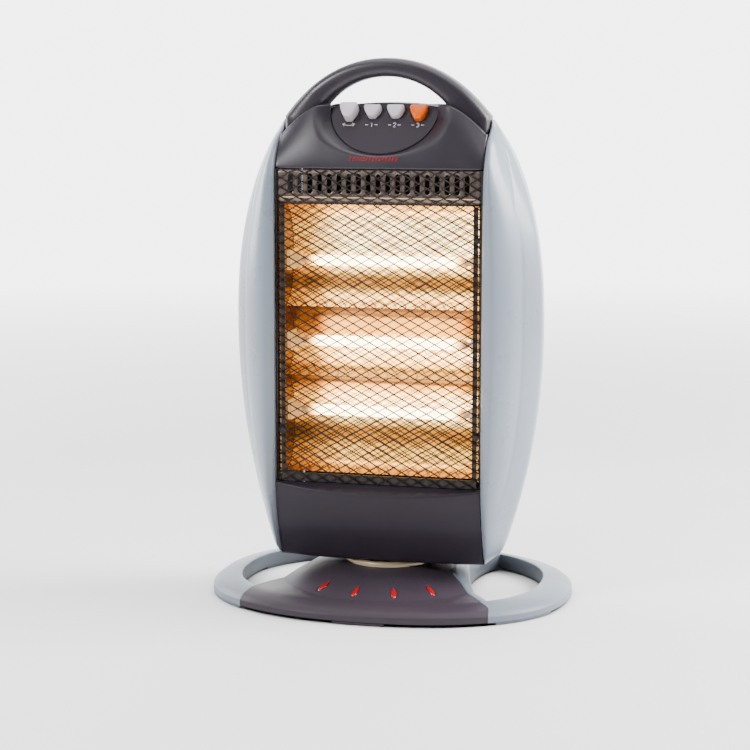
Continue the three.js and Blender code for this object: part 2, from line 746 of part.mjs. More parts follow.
// Rounded shield: a broad top that narrows to a blunt tip.
function shieldOutline(x, height, margin) {
  const half = BUTTON_WIDTH / 2;
  const right = [
    [0.3, 0],
    [0.62, 0.2],
    [0.88, 0.52],
    [1, 0.8],
    [0.92, 0.96],
    [0.75, 1],
  ].map(([a, b]) => [a * half, b * height]);
  const loop = [...right, ...right.map(([a, b]) => [-a, b]).reverse()];
  const [grownAcross, grownUp] = [1 + margin / half, 1 + (2 * margin) / height];
  return loop.map(([a, b]) => [
    x + a * grownAcross,
    BUTTON_TOP_V - height / 2 + (b - height / 2) * grownUp,
  ]);
}

function controlConsole() {
  const topZ = CONSOLE_TOP_Z;
  const rearY = REAR_CREST_Y - WALL - GAP;
  const thick = WALL / Math.cos(CONSOLE_SLOPE);
  const profile = [
    [CONSOLE_LOW_Y, CONSOLE_LOW_Z],
    [CONSOLE_TOP_Y, topZ],
    [rearY, topZ],
    [rearY, topZ - WALL],
    [CONSOLE_TOP_Y + thick - WALL * Math.tan(CONSOLE_SLOPE), topZ - WALL],
    [CONSOLE_LOW_Y + thick, CONSOLE_LOW_Z],
  ];
  const crown = spread(-1, 1, 13).map((t) => [
    t * (CREST_FLAT_X - GAP),
    topZ + CONSOLE_CROWN * (1 - t * t) - CONSOLE_CROWN,
  ]);
  const outline = scoopLoop(() => CONSOLE_HALF_WIDTH - GAP, CONSOLE_DROP - GAP, HEIGHT);
  const face = solid(plateX(profile, -CREST_FLAT_X, CREST_FLAT_X)).intersect(
    solid(plateY(outline, -HEIGHT, HANDLE_FRONT_Y)),
  );
  const deckEdge = CREST_FLAT_X - GAP;
  const deck = solid(plateX(profile, -deckEdge, deckEdge)).intersect(
    solid(box(-HEIGHT, HEIGHT, HANDLE_FRONT_Y - GAP / 2, HEIGHT, 0, HEIGHT)),
  );
  const under = [[-HEIGHT, 0], [HEIGHT, 0], [HEIGHT, topZ - CONSOLE_CROWN], ...crown.toReversed()];
  const rounded = face.add(deck).intersect(
    solid(plateY([...under, [-HEIGHT, topZ - CONSOLE_CROWN]], -HEIGHT, HEIGHT)),
  );
  const holes = BUTTON_HEIGHTS.map((height, i) =>
    onConsole(plateY(shieldOutline(BUTTON_XS[i], height, BUTTON_CLEAR), -5, 25)),
  );
  return cut(rounded, ...holes);
}

// A key cap with its stem; a released one stands out by its travel.
function button(index) {
  const height = BUTTON_HEIGHTS[index];
  const x = BUTTON_XS[index];
  const out = BUTTON_OUT + (index === 0 ? BUTTON_TRAVEL : 0);
  const layers = [
    [-out, -2.6],
    [-out + 0.8, -1.1],
    [-out + 2.4, -0.2],
    [BUTTON_BACK, 0],
  ].map(([y, margin]) => shieldOutline(x, height, margin).map(([a, b]) => [a, y, b]));
  const middle = BUTTON_TOP_V - 6.5;
  const stem = box(
    x - STEM / 2,
    x + STEM / 2,
    BUTTON_BACK - 1,
    STEM_END,
    middle - STEM / 2,
    middle + STEM / 2,
  );
  return join(onConsole(loft(layers, { flatAxes: [0, 2] })), onConsole(stem));
}

function switchBlock() {
  const middle = BUTTON_TOP_V - 6.5;
  const front = BUTTON_BACK + BUTTON_TRAVEL + 2;
  const half = 1.5 * BUTTON_PITCH + BUTTON_WIDTH / 2 + 4;
  const back = STEM_END + BUTTON_TRAVEL + 3;
  const body = join(
    onConsole(box(-half, half, front, back, middle - 8, middle + 3.6)),
    ...[-1, 1].map((side) =>
      onConsole(
        box(
          side > 0 ? half - 3 : -half,
          side > 0 ? half : -half + 3,
          WALL + GAP,
          front + OVER,
          middle - 8,
          middle + 1,
        ),
      ),
    ),
  );
  const wells = BUTTON_XS.map((x) => {
    const half = STEM / 2 + GAP;
    const end = STEM_END + BUTTON_TRAVEL + 1;
    return onConsole(box(x - half, x + half, front - OVER, end, middle - half, middle + half));
  });
  return cut(body, ...wells);
}

// ---------------------------------------------------------------- guard, frame, vent plate

const GUARD_FRONT_Y = FACE_Y - 0.2;
const GUARD_BACK_Y = GUARD_FRONT_Y + GUARD_WIRE;
const FRAME_FRONT_Y = GUARD_BACK_Y + GAP;
const FRAME_BACK_Y = FRAME_FRONT_Y + BAR_THICK;

// Diamonds in staggered rows, each clipped to the guard's field, cut from one sheet.
function meshGuard() {
  const half = PANEL_HALF_WIDTH;
  const [bottom, top] = [GRILLE_BOTTOM_Z + GAP, GRILLE_TOP_Z - GAP];
  const field = { x: half - GUARD_HEM, z0: bottom + GUARD_HEM, z1: top - GUARD_HEM };
  const tilt = Math.atan2(DIAMOND_HEIGHT, DIAMOND_WIDTH);
  const reach = DIAMOND_WIDTH / 2 - GUARD_WIRE / 2 / Math.sin(tilt);
  const rise = DIAMOND_HEIGHT / 2 - GUARD_WIRE / 2 / Math.cos(tilt);
  const middleZ = (bottom + top) / 2;
  const rows = Math.ceil((top - bottom) / DIAMOND_HEIGHT) + 1;
  const columns = Math.ceil(half / DIAMOND_WIDTH) + 1;
  const holes = [];
  for (let r = -rows; r <= rows; r++)
    for (let c = -columns; c <= columns; c++) {
      const x = (c + (Math.abs(r) % 2) / 2) * DIAMOND_WIDTH;
      const z = middleZ + (r * DIAMOND_HEIGHT) / 2;
      const hole = clipped([[x + reach, z], [x, z + rise], [x - reach, z], [x, z - rise]], field);
      if (hole) holes.push(plateY(hole, GUARD_FRONT_Y - OVER, GUARD_BACK_Y + OVER));
    }
  return cut(solid(box(-half, half, GUARD_FRONT_Y, GUARD_BACK_Y, bottom, top)), ...holes);
}

// A convex outline cut to the field, or nothing where too little of it is left.
function clipped(outline, field) {
  const sides = [
    ([x]) => field.x - x,
    ([x]) => field.x + x,
    ([, z]) => z - field.z0,
    ([, z]) => field.z1 - z,
  ];
  let loop = outline;
  for (const depth of sides) {
    loop = loop.flatMap((point, i) => {
      const next = loop[(i + 1) % loop.length];
      const [a, b] = [depth(point), depth(next)];
      const crossing = [
        lerp(point[0], next[0], a / (a - b)),
        lerp(point[1], next[1], a / (a - b)),
      ];
      if (a >= 0 && b >= 0) return [point];
      if (a >= 0) return [point, crossing];
      return b >= 0 ? [crossing] : [];
    });
  }
  const area = Math.abs(THREE.ShapeUtils.area(loop.map(([x, y]) => new THREE.Vector2(x, y))));
  return loop.length > 2 && area > GUARD_WIRE * DIAMOND_HEIGHT ? loop : null;
}

// U-shaped frame behind the mesh, with tabs out to the side covers.
function guardFrame() {
  const top = VENT_BOTTOM_Z - GAP;
  const half = BAR_WIDTH / 2;
  const [y0, y1] = [FRAME_FRONT_Y, FRAME_BACK_Y];
  const bars = [-BAR_X, BAR_X].map((x) =>
    box(x - half, x + half, y0, y1, GRILLE_BOTTOM_Z + GAP, top),
  );
  const sill = box(-BAR_X, BAR_X, y0, y1, GRILLE_BOTTOM_Z + GAP, GRILLE_BOTTOM_Z + SILL_HEIGHT);
  const tabs = FRAME_TAB_ZS.flatMap((z) => [
    box(-PANEL_HALF_WIDTH, -BAR_X, y0, y1, z - 3, z + 3),
    box(BAR_X, PANEL_HALF_WIDTH, y0, y1, z - 3, z + 3),
  ]);
  return join(...bars, sill, ...tabs);
}

function ventPlate() {
  const slot = (x) => {
    const half = VENT_SLOT_WIDTH / 2;
    const arc = (z, from) =>
      spread(from, from + 180, 4).map((a) => [
        x + half * Math.cos(radians(a)),
        z + half * Math.sin(radians(a)),
      ]);
    const loop = [...arc(VENT_SLOT_TOP_Z - half, 0), ...arc(VENT_SLOT_BOTTOM_Z + half, 180)];
    return new THREE.Path(loop.map(([a, b]) => new THREE.Vector2(a, b)));
  };
  const half = PANEL_HALF_WIDTH;
  const [bottom, top] = [VENT_BOTTOM_Z, GRILLE_TOP_Z - GAP];
  const plate = shapeOf([[-half, bottom], [half, bottom], [half, top], [-half, top]]);
  plate.holes = range(VENT_SLOTS, (i) => slot((i - (VENT_SLOTS - 1) / 2) * VENT_PITCH));
  return new THREE.ExtrudeGeometry(plate, { depth: SHEET, bevelEnabled: false })
    .rotateX(Math.PI / 2)
    .translate(0, FRAME_FRONT_Y + SHEET, 0);
}

// ---------------------------------------------------------------- heating elements

const REFLECTOR_HALF = END_PLATE_X - GAP;

// One bright trough between two levels, open to the front.
function reflector(index) {
  const top = REFLECTOR_EDGES_Z[index] - GAP / 2;
  const bottom = REFLECTOR_EDGES_Z[index + 1] + GAP / 2;
  const half = (top - bottom) / 2;
  const section = (inset) =>
    spread(0, 180, 13).map((a) => [
      REFLECTOR_LIP_Y + (REFLECTOR_DEPTH - inset) * Math.sin(radians(a)) ** 0.8,
      (top + bottom) / 2 + (half - inset) * Math.cos(radians(a)),
    ]);
  const outline = [...section(0), ...section(SHEET).toReversed()];
  return plateX(outline, -REFLECTOR_HALF, REFLECTOR_HALF);
}

// Upright sheet that closes the troughs' end and carries the tube caps; its front edge turns out.
function endPlate(side) {
  const top = VENT_BOTTOM_Z - GAP;
  const front = FRAME_BACK_Y + GAP;
  const web = box(END_PLATE_X, END_PLATE_X + SHEET, front, END_PLATE_BACK_Y, FRAME_BOTTOM_Z, top);
  const flange = box(END_PLATE_X, PANEL_HALF_WIDTH, front, front + SHEET, FRAME_BOTTOM_Z, top);
  const body = join(web, flange);
  return side > 0 ? body : mirrored(body);
}

function tubeCap(side, z) {
  const [near, far] = [REFLECTOR_HALF - TUBE_CAP_LENGTH, REFLECTOR_HALF];
  const body = join(
    rodX(TUBE_CAP_RADIUS, near, far, TUBE_Y, z, 12),
    box(far - 4, far, TUBE_Y - 10, TUBE_Y + 10, z - 10, z + 10),
  );
  return side > 0 ? body : mirrored(body);
}

// Quartz tube with its pinched ends and the exhaust nib in the middle.
function halogenTube(z) {
  const end = REFLECTOR_HALF - TUBE_CAP_LENGTH - GAP;
  const profile = [
    [0, -end],
    [3, -end],
    [3, -end + 4],
    [TUBE_RADIUS, -end + 8],
    [TUBE_RADIUS, end - 8],
    [3, end - 4],
    [3, end],
    [0, end],
  ];
  const glass = new THREE.LatheGeometry(
    profile.map(([r, x]) => new THREE.Vector2(r, x)),
    12,
  );
  return join(
    glass.rotateZ(-Math.PI / 2).translate(0, TUBE_Y, z),
    rodZ(1.2, 0, TUBE_Y, z + TUBE_RADIUS - 1, z + TUBE_RADIUS + 2, 6),
  );
}

function thermalCutout() {
  const z = (REFLECTOR_EDGES_Z[0] + REFLECTOR_EDGES_Z[1]) / 2;
  const seat = REFLECTOR_LIP_Y + REFLECTOR_DEPTH + GAP;
  return join(
    rodY(8, 40, seat, seat + 6, z, 20),
    box(28, 52, seat + 1, seat + 2, z - 3, z + 3),
    box(36.8, 38, seat + 5, seat + 12, z - 3, z + 3),
    box(42, 43.2, seat + 5, seat + 12, z - 3, z + 3),
  );
}

// ---------------------------------------------------------------- floor of the body and swivel

const FLOOR_TOP_Z = BODY_BOTTOM_Z + 3;

function bodyFloor() {
  const front = PANEL_COLUMNS.map((x) => {
    const inside = x * (1 - 1 / PANEL_HALF_WIDTH);
    const [y] = lowerProfile(inside, WALL + GAP).at(-1);
    return [inside, y];
  });
  const rear = seamRear(BODY_BOTTOM_Z) - WALL - GAP;
  const edge = front.at(-1)[0];
  const plate = plateZ([...front, [edge, rear], [-edge, rear]], BODY_BOTTOM_Z, FLOOR_TOP_Z);
  return cut(
    solid(plate),
    rodZ(PIVOT_RADIUS + GAP, 0, 0, 0, HEIGHT),
    rodZ(CRANK_HUB_RADIUS + GAP, CRANK_CENTRE_X, 0, 0, HEIGHT),
  );
}

// Hollow post with a flange on the floor plate; the wires run through its bore.
function pivotTube() {
  const body = join(
    rodZ(PIVOT_RADIUS, 0, 0, PIVOT_FOOT_Z, FLOOR_TOP_Z + GAP + 1.5),
    rodZ(PIVOT_RADIUS + 1.5, 0, 0, FLOOR_TOP_Z + GAP, FLOOR_TOP_Z + GAP + 2),
  );
  return cut(body, rodZ(PIVOT_BORE, 0, 0, 0, HEIGHT));
}

const WASHER_TOP_Z = DECK_Z - DECK_THICK - GAP;
const WASHER_THICK = 2;
const NUT_TOP_Z = WASHER_TOP_Z - WASHER_THICK - GAP;
const NUT_HEIGHT = 4;

const pivotWasher = () =>
  ringZ(WASHER_RADIUS, PIVOT_RADIUS + GAP, WASHER_TOP_Z - WASHER_THICK, WASHER_TOP_Z, 24);

function pivotNut() {
  const hexagon = rodZ(NUT_RADIUS, 0, 0, NUT_TOP_Z - NUT_HEIGHT, NUT_TOP_Z, 6);
  return cut(solid(hexagon), rodZ(PIVOT_RADIUS + GAP, 0, 0, 0, HEIGHT));
}

// Bearing ring that the body turns on, with a rounded top edge.
function swivelCollar() {
  const inner = COLLAR_RADIUS - COLLAR_WIDTH;
  const [bottom, top] = [DECK_Z + GAP, BODY_BOTTOM_Z - GAP];
  const profile = [
    [inner, bottom],
    [COLLAR_RADIUS, bottom],
    [COLLAR_RADIUS, top - 2.5],
    [COLLAR_RADIUS - 0.8, top - 0.8],
    [COLLAR_RADIUS - 2.5, top],
    [inner, top],
    [inner, bottom],
  ];
  const points = profile.map(([r, z]) => new THREE.Vector2(r, z));
  return new THREE.LatheGeometry(points, BIG_ROUND).rotateX(Math.PI / 2);
}

const DRIVE_TOP_Z = DECK_Z + GAP + 2;

// Fixed plate with the straight slot that the crank's pin runs in, open to the pivot's hole.
function drivePlate() {
  const half = PIN_RADIUS + SLOT_CLEAR;
  const far = CRANK_CENTRE_X + CRANK_RADIUS + half;
  const plate = rodZ(COLLAR_RADIUS - COLLAR_WIDTH - GAP, 0, 0, DECK_Z + GAP, DRIVE_TOP_Z, BIG_ROUND);
  return cut(
    solid(plate),
    box(0, far, -half, half, 0, HEIGHT),
    rodZ(PIVOT_RADIUS + GAP, 0, 0, 0, HEIGHT),
  );
}

const CRANK_HUB_RADIUS = 4;
const CRANK_TOP_Z = BODY_BOTTOM_Z - GAP - 0.4;
const CRANK_THICK = 2.4;
const CRANK_DISC_RADIUS = CRANK_RADIUS + PIN_RADIUS + 1;

// Disc on the motor's shaft, with the pin that reaches down into the slot.
function crankDisc() {
  return join(
    rodZ(CRANK_DISC_RADIUS, CRANK_CENTRE_X, 0, CRANK_TOP_Z - CRANK_THICK, CRANK_TOP_Z, 24),
    rodZ(CRANK_HUB_RADIUS, CRANK_CENTRE_X, 0, CRANK_TOP_Z - 1, FLOOR_TOP_Z),
    rodZ(PIN_RADIUS, CRANK_CENTRE_X + CRANK_RADIUS, 0, DECK_Z + 2 * GAP, CRANK_TOP_Z - 1, 12),
  );
}

function swivelMotor() {
  const seat = FLOOR_TOP_Z + GAP;
  return join(
    rodZ(MOTOR_RADIUS, MOTOR_CENTRE_X, 0, seat, seat + MOTOR_HEIGHT, 24),
    box(MOTOR_CENTRE_X - 4, MOTOR_CENTRE_X + 4, -31, 31, seat, seat + SHEET),
    box(MOTOR_CENTRE_X - 8, MOTOR_CENTRE_X + 8, 20, 28, seat + 4, seat + 16),
  );
}

function terminalBlock() {
  const seat = FLOOR_TOP_Z + GAP;
  const poles = range(3, (i) => rodZ(3, -60 + i * 11, 10, seat + 8, seat + 14, 12));
  return join(box(-67, -31, 2, 18, seat, seat + 9), ...poles);
}

function cordInlet() {
  const wall = seamRear(INLET_Z);
  const body = join(
    rodY(INLET_RADIUS, 0, wall - 9, wall + 3, INLET_Z),
    rodY(INLET_RADIUS + 3, 0, wall + GAP, wall + 3, INLET_Z),
    rodY(INLET_RADIUS + 3, 0, wall - WALL - GAP - 3, wall - WALL - GAP, INLET_Z),
  );
  return cut(body, rodY(3.6, 0, 0, HEIGHT, INLET_Z, 16));
}

// ---------------------------------------------------------------- base

// Point on the base outline, drawn in to a share of its size.
function onOutline(angle, share) {
  const bend = (v, size) => size * share * Math.sign(v) * Math.abs(v) ** (2 / BASE_POWER);
  return [
    bend(Math.cos(angle), BASE_HALF_WIDTH),
    BASE_CENTRE_Y + bend(Math.sin(angle), BASE_HALF_DEPTH),
  ];
}

// Share of the outline that a point lies on.
function outlineShare(x, y) {
  const across = Math.abs(x / BASE_HALF_WIDTH) ** BASE_POWER;
  const along = Math.abs((y - BASE_CENTRE_Y) / BASE_HALF_DEPTH) ** BASE_POWER;
  return (across + along) ** (1 / BASE_POWER);
}

const rimHeight = through([
  [0.84, RING_TOP_Z],
  [0.88, RING_TOP_Z - 0.4],
  [0.93, RING_TOP_Z - 2.5],
  [0.97, RING_TOP_Z - 5.2],
  [1, RIM_WALL_Z],
]);

// Height of the hub's dome, which falls from the collar to the ring's level.
const hubProfile = through([
  [COLLAR_RADIUS, HUB_TOP_Z],
  [HUB_FOOT_RADIUS * 0.65, lerp(RING_TOP_Z, HUB_TOP_Z, 0.72)],
  [HUB_FOOT_RADIUS * 0.87, lerp(RING_TOP_Z, HUB_TOP_Z, 0.31)],
  [HUB_FOOT_RADIUS, RING_TOP_Z],
]);
const hubHeight = (x, y) => hubProfile(Math.hypot(x, y));

function baseHeight(x, y) {
  const share = outlineShare(x, y);
  return share > RING_INNER ? rimHeight(share) : hubHeight(x, y);
}

const RING_STATIONS = 40;

function ringLoops(section) {
  return range(RING_STATIONS, (i) => {
    const angle = ((i + 0.5) / RING_STATIONS) * 2 * Math.PI;
    return section.map(([share, z]) => [...onOutline(angle, share), z]);
  });
}

const ringSolid = (section) => solid(loft(ringLoops(section), { closed: true }));

// The web is drawn on past the ring at both ends.
const WEB_FRONT_Y = BASE_CENTRE_Y - BASE_HALF_DEPTH - 15.2;
const WEB_REAR_Y = BASE_CENTRE_Y + BASE_HALF_DEPTH + 1.6;

// Half width of the web that joins the front of the ring to its back across the hub.
const webHalfWidth = through([
  [WEB_FRONT_Y, 136],
  [-98, FAN_HALF_WIDTH],
  [-40, 97],
  [FAN_BACK_Y, 84],
  [50, 80],
  [100, 88],
  [WEB_REAR_Y, 120],
]);

// The web's outline, or its front part that the cover lies on; the two are cut to the same edges.
const WEB_YS = [-98, -70, -40, -14, FAN_BACK_Y];
const WEB_BACK_YS = [50, 100, WEB_REAR_Y];

function webPrism(ys, margin) {
  const right = [WEB_FRONT_Y, ...ys].map((y) => [webHalfWidth(y) + margin, y]);
  const left = right.map(([x, y]) => [-x, y]).reverse();
  return solid(plateZ([...right, ...left], -HEIGHT, HEIGHT));
}

// Rows across the base, as shares of the way from the front rim to the rear one.
const FIELD_ROWS = [0, 0.02, 0.045, 0.08, 0.14, 0.21, 0.28, 0.36, 0.5, 0.72, 0.9, 0.98, 1];
const FIELD_COLUMNS = spread(-140, 140, 13);

// The solid under a height over the base's middle, its rim drawn in or out by a share.
function field(height, share, floorZ) {
  const top = FIELD_ROWS.map((t) =>
    FIELD_COLUMNS.map((x) => {
      const rest = 1 - Math.abs(x / (BASE_HALF_WIDTH * share)) ** BASE_POWER;
      const reach = BASE_HALF_DEPTH * share * rest ** (1 / BASE_POWER);
      const y = BASE_CENTRE_Y + lerp(-reach, reach, t);
      return [x, y, height(x, y)];
    }),
  );
  const bottom = top.map((row) => row.map(([x, y]) => [x, y, floorZ]));
  return solid(between(top, bottom));
}

const sunkBy = (depth) => (x, y) => baseHeight(x, y) - depth;

const RIM_DRAW = 1 - WALL / BASE_HALF_DEPTH;
const CORE_DROP = WALL + GAP;
const CORE_DRAW = 1 - CORE_DROP / BASE_HALF_DEPTH;

function baseCover() {
  const skin = field(baseHeight, 1, BASE_UNDERSIDE_Z + GAP);
  const shell = skin.subtract(field(sunkBy(WALL), RIM_DRAW, 0)).intersect(webPrism(WEB_YS, 0));
  const inlays = INLAY_ANGLES.map((angle) => inlayDrop(angle, GAP, OVER));
  return cut(shell, rodZ(COLLAR_RADIUS + GAP, 0, 0, 0, HEIGHT, BIG_ROUND), ...inlays);
}

// A slim drop set radially in the cover, on the cone's own slope, that stands out by a lift.
function inlayDrop(angle, margin, lift) {
  const steps = 12;
  const [long, wide] = [INLAY_LENGTH / 2 + margin, INLAY_WIDTH / 2 + margin];
  const turn = radians(angle);
  const loop = (grow, rise) =>
    range(steps, (i) => {
      const a = (i / steps) * 2 * Math.PI;
      const along = INLAY_RADIUS - long * grow * Math.cos(a);
      const across = wide * grow * (1 - 0.25 * Math.cos(a)) * Math.sin(a);
      const x = along * Math.sin(turn) + across * Math.cos(turn);
      const y = -along * Math.cos(turn) + across * Math.sin(turn);
      return [x, y, hubHeight(x, y) + rise];
    });
  if (margin) return loft([loop(1, -WALL - OVER), loop(1, lift)]);
  return loft([loop(1, -WALL + GAP), loop(1, lift * 0.4), loop(0.72, lift)]);
}

function baseRing() {
  const ring = ringSolid([
    [1, BASE_UNDERSIDE_Z],
    [1, RIM_WALL_Z],
    [0.97, rimHeight(0.97)],
    [0.93, rimHeight(0.93)],
    [0.88, rimHeight(0.88)],
    [RING_INNER, RING_TOP_Z],
    [RING_INNER, BASE_UNDERSIDE_Z],
  ]);
  const channel = ringSolid([
    [0.962, 0],
    [0.962, RIM_WALL_Z - 4],
    [0.93, RIM_WALL_Z],
    [RING_INNER + 0.02, RING_TOP_Z - WALL - CORE_DROP],
    [RING_INNER + 0.02, 0],
  ]);
  const web = webPrism([...WEB_YS, ...WEB_BACK_YS], 0);
  const webInside = webPrism([...WEB_YS, ...WEB_BACK_YS], -WALL);
  const hill = field(baseHeight, 1, BASE_UNDERSIDE_Z).intersect(web);
  const hollow = field(sunkBy(WALL + CORE_DROP), RING_INNER, 0).intersect(webInside);
  const lid = field(sunkBy(-OVER), 1 + 4 * OVER / BASE_HALF_DEPTH, -OVER);
  const core = field(sunkBy(CORE_DROP), CORE_DRAW, -2 * OVER);
  const sunk = lid.subtract(core).intersect(webPrism(WEB_YS, GAP));
  const bosses = join(
    ...BOSS_PLACES.map(([x, y]) => rodZ(BOSS_RADIUS, x, y, BALLAST_TOP_Z + GAP, HUB_TOP_Z, 12)),
  ).intersect(core);
  return cut(
    ring.add(hill).subtract(channel).subtract(hollow).subtract(sunk).add(bosses),
    box(-HEIGHT, HEIGHT, FAN_BACK_Y - OVER, FAN_BACK_Y + GAP, HUB_TOP_Z, HEIGHT),
    rodZ(COLLAR_RADIUS + GAP, 0, 0, DECK_Z, HEIGHT, BIG_ROUND),
    rodZ(PIVOT_RADIUS + GAP, 0, 0, 0, HEIGHT),
  );
}

function footPad([angle, span]) {
  const edges = spread(angle - span / 2, angle + span / 2, 6).map(radians);
  const outer = edges.map((a) => onOutline(a, 1));
  const inner = edges.map((a) => onOutline(a, RING_INNER + 0.015)).reverse();
  return plateZ([...outer, ...inner], 0, BASE_UNDERSIDE_Z - GAP);
}

// Steel plate inside the web that weighs the base down, with the tip-over plunger's hole.
function ballastPlate() {
  const inset = WALL * 1.2 + GAP + 1;
  const ys = [-70, -40, -14, FAN_BACK_Y, 50, 100];
  const right = ys.map((y) => [webHalfWidth(y) - inset, y]);
  const left = ys.map((y) => [-(webHalfWidth(y) - inset), y]).reverse();
  const plate = plateZ([...right, ...left], BALLAST_TOP_Z - BALLAST_THICK, BALLAST_TOP_Z);
  return cut(solid(plate), rodZ(TIP_RADIUS + GAP, 0, TIP_Y, -OVER, HEIGHT));
}

function tipPlunger() {
  return join(
    rodZ(TIP_RADIUS, 0, TIP_Y, 0, TIP_HEIGHT - 3),
    rodZ(TIP_RADIUS - 2, 0, TIP_Y, TIP_HEIGHT - 4, TIP_HEIGHT),
  );
}

function tipSwitch() {
  const seat = BALLAST_TOP_Z + GAP;
  const top = TIP_HEIGHT + GAP;
  return cut(
    join(box(-9, 9, TIP_Y - 9, TIP_Y + 9, seat, top + 1.5)),
    rodZ(TIP_RADIUS + GAP, 0, TIP_Y, 0, top),
  );
}

// ---------------------------------------------------------------- assembly

const PAD_FINISH = ["grey", "plum", "grey"];

piece("base_ring", "grey", baseRing());
piece("base_cover", "plum", baseCover());
INLAY_ANGLES.forEach((angle, i) =>
  piece(`base_inlay_${i + 1}`, "red", inlayDrop(angle, 0, INLAY_PROUD)),
);
piece("ballast_plate", "steel", ballastPlate());
PADS.forEach((place, i) => piece(`foot_pad_${i + 1}`, PAD_FINISH[i % 3], footPad(place)));
piece("tip_plunger", "black", tipPlunger());
piece("tip_switch", "dark", tipSwitch());
piece("swivel_collar", "cream", swivelCollar());
piece("drive_plate", "steel", drivePlate());
piece("pivot_tube", "steel", pivotTube());
piece("pivot_washer", "steel", pivotWasher());
piece("pivot_nut", "steel", pivotNut());
piece("crank_disc", "white", crankDisc());
piece("swivel_motor", "steel", swivelMotor());
piece("body_floor", "dark", bodyFloor());
piece("terminal_block", "white", terminalBlock());
piece("left_side_cover", "grey", sideCover(-1));
piece("right_side_cover", "grey", sideCover(1));
piece("upper_front_panel", "plum", upperFrontPanel());
piece("lower_front_panel", "plum", lowerFrontPanel());
piece("rear_panel", "plum", rearPanel());
REAR_SCREWS.forEach((place, i) => piece(`rear_screw_${i + 1}`, "steel", rearScrew(place)));
piece("cord_inlet", "black", cordInlet());
piece("carry_handle", "plum", carryHandle());
piece("control_console", "dark", controlConsole());
piece("swing_button", "white", button(0));
["white", "white", "orange"].forEach((finish, i) =>
  piece(`heat_button_${i + 1}`, finish, button(i + 1)),
);
piece("switch_block", "white", switchBlock());
piece("mesh_guard", "wire", meshGuard());
piece("guard_frame", "wire", guardFrame());
piece("vent_plate", "steel", ventPlate());
range(3, (i) => piece(`reflector_${i + 1}`, "mirror", reflector(i)));
piece("left_end_plate", "steel", endPlate(-1));
piece("right_end_plate", "steel", endPlate(1));
TUBE_ZS.forEach((z, i) => {
  piece(`halogen_tube_${i + 1}`, "quartz", halogenTube(z));
  piece(`left_tube_cap_${i + 1}`, "ceramic", tubeCap(-1, z));
  piece(`right_tube_cap_${i + 1}`, "ceramic", tubeCap(1, z));
});
piece("thermal_cutout", "steel", thermalCutout());

heater.position.y = -BASE_CENTRE_Y;

export default heater;
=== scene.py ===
"""The looks of a halogen heater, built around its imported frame.

Sizes are in millimetres and count, as the part's own do, from the swivel's axis on the floor. A mesh turns
them into the frame's metres when it is made, and sets them back so that the base's middle is the origin.
"""

import math

import bmesh
import bpy
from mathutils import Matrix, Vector


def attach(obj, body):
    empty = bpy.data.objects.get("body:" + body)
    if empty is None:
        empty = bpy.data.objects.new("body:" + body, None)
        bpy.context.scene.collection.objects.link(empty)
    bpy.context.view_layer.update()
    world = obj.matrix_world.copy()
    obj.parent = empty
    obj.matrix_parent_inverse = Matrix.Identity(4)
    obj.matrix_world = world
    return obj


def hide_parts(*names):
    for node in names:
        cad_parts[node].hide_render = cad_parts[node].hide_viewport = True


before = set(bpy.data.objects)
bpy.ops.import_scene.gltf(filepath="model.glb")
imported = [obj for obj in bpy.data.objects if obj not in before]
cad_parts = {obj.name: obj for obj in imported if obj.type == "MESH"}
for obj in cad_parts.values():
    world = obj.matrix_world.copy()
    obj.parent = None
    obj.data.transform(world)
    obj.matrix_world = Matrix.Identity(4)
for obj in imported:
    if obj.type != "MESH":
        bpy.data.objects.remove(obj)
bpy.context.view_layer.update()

# ---------------------------------------------------------------- sizes

MM = 0.001
FORWARD, BACKWARD, UPWARD, UP_FORWARD = (0, -1, 0), (0, 1, 0), (0, 0, 1), (0, -1, 1)
GAP = 0.3
WALL = 2.5

HEIGHT = 560
BODY_HALF_WIDTH = 162.4
WIDEST_Z = 292.6
UPPER_POWER, UPPER_ROOT = 2.2, 2.1
LOWER_REACH, LOWER_POWER, LOWER_ROOT = 432.6, 2.1, 1.2
BODY_BOTTOM_Z = 43
GRILLE_BOTTOM_Z, GRILLE_TOP_Z = 126, 448.5
SEAM_X = 108.3
PANEL_HALF_WIDTH = SEAM_X - 0.7
MID_Y, FACE_Y, BACK_Y = -6, -52, 54
COVER_TOP_Z, COVER_TIP_Z = 488, 498
COVER_CORNER = 14
# Painted shade on the covers: the share of their colour left at their foot, and the level from which it is
# full.
COVER_FOOT_SHADE, COVER_UNSHADED_Z = 0.72, 250
CREASE_START_Z, CREASE_END_Z = (70, 150), (466, 474)

CREST_Z, CREST_FLAT_X, CREST_SEAM_Z, CREST_ROUND = 513.5, 62, 481, 0.62
FRONT_CREST_Y, REAR_CREST_Y = -30, 26
LEAN_POWER = 1.5

GRIP_RADIUS, GRIP_TOP_Z = 82.8, 540.9
HANDLE_FRONT_Y, HANDLE_TOP_DEPTH = -23.7, 25
FOOT_REAR_Y, FOOT_BOTTOM_Z = 20, 452
SHOULDER_Z = 508
FOOT_POWER, ARCH_POWER, HANDLE_REAR_POWER = 4, 2.4, 2.1  # how square the handle's sections are

SCOOP_CENTRE_Z = 508
SCOOP_LOW_HALF_WIDTH, SCOOP_HIGH_HALF_WIDTH, SCOOP_DROP = 75.7, 68.6, 46
CONSOLE_HALF_WIDTH, CONSOLE_DROP = 56, 44.5
CONSOLE_LOW_Y, CONSOLE_LOW_Z = -46, 463.5
CONSOLE_TOP_Y, CONSOLE_TOP_Z = -15.5, 515
CONSOLE_REAR_Y = 23.2
CONSOLE_CROWN = 5
CONSOLE_SLOPE = math.atan2(CONSOLE_TOP_Y - CONSOLE_LOW_Y, CONSOLE_TOP_Z - CONSOLE_LOW_Z)

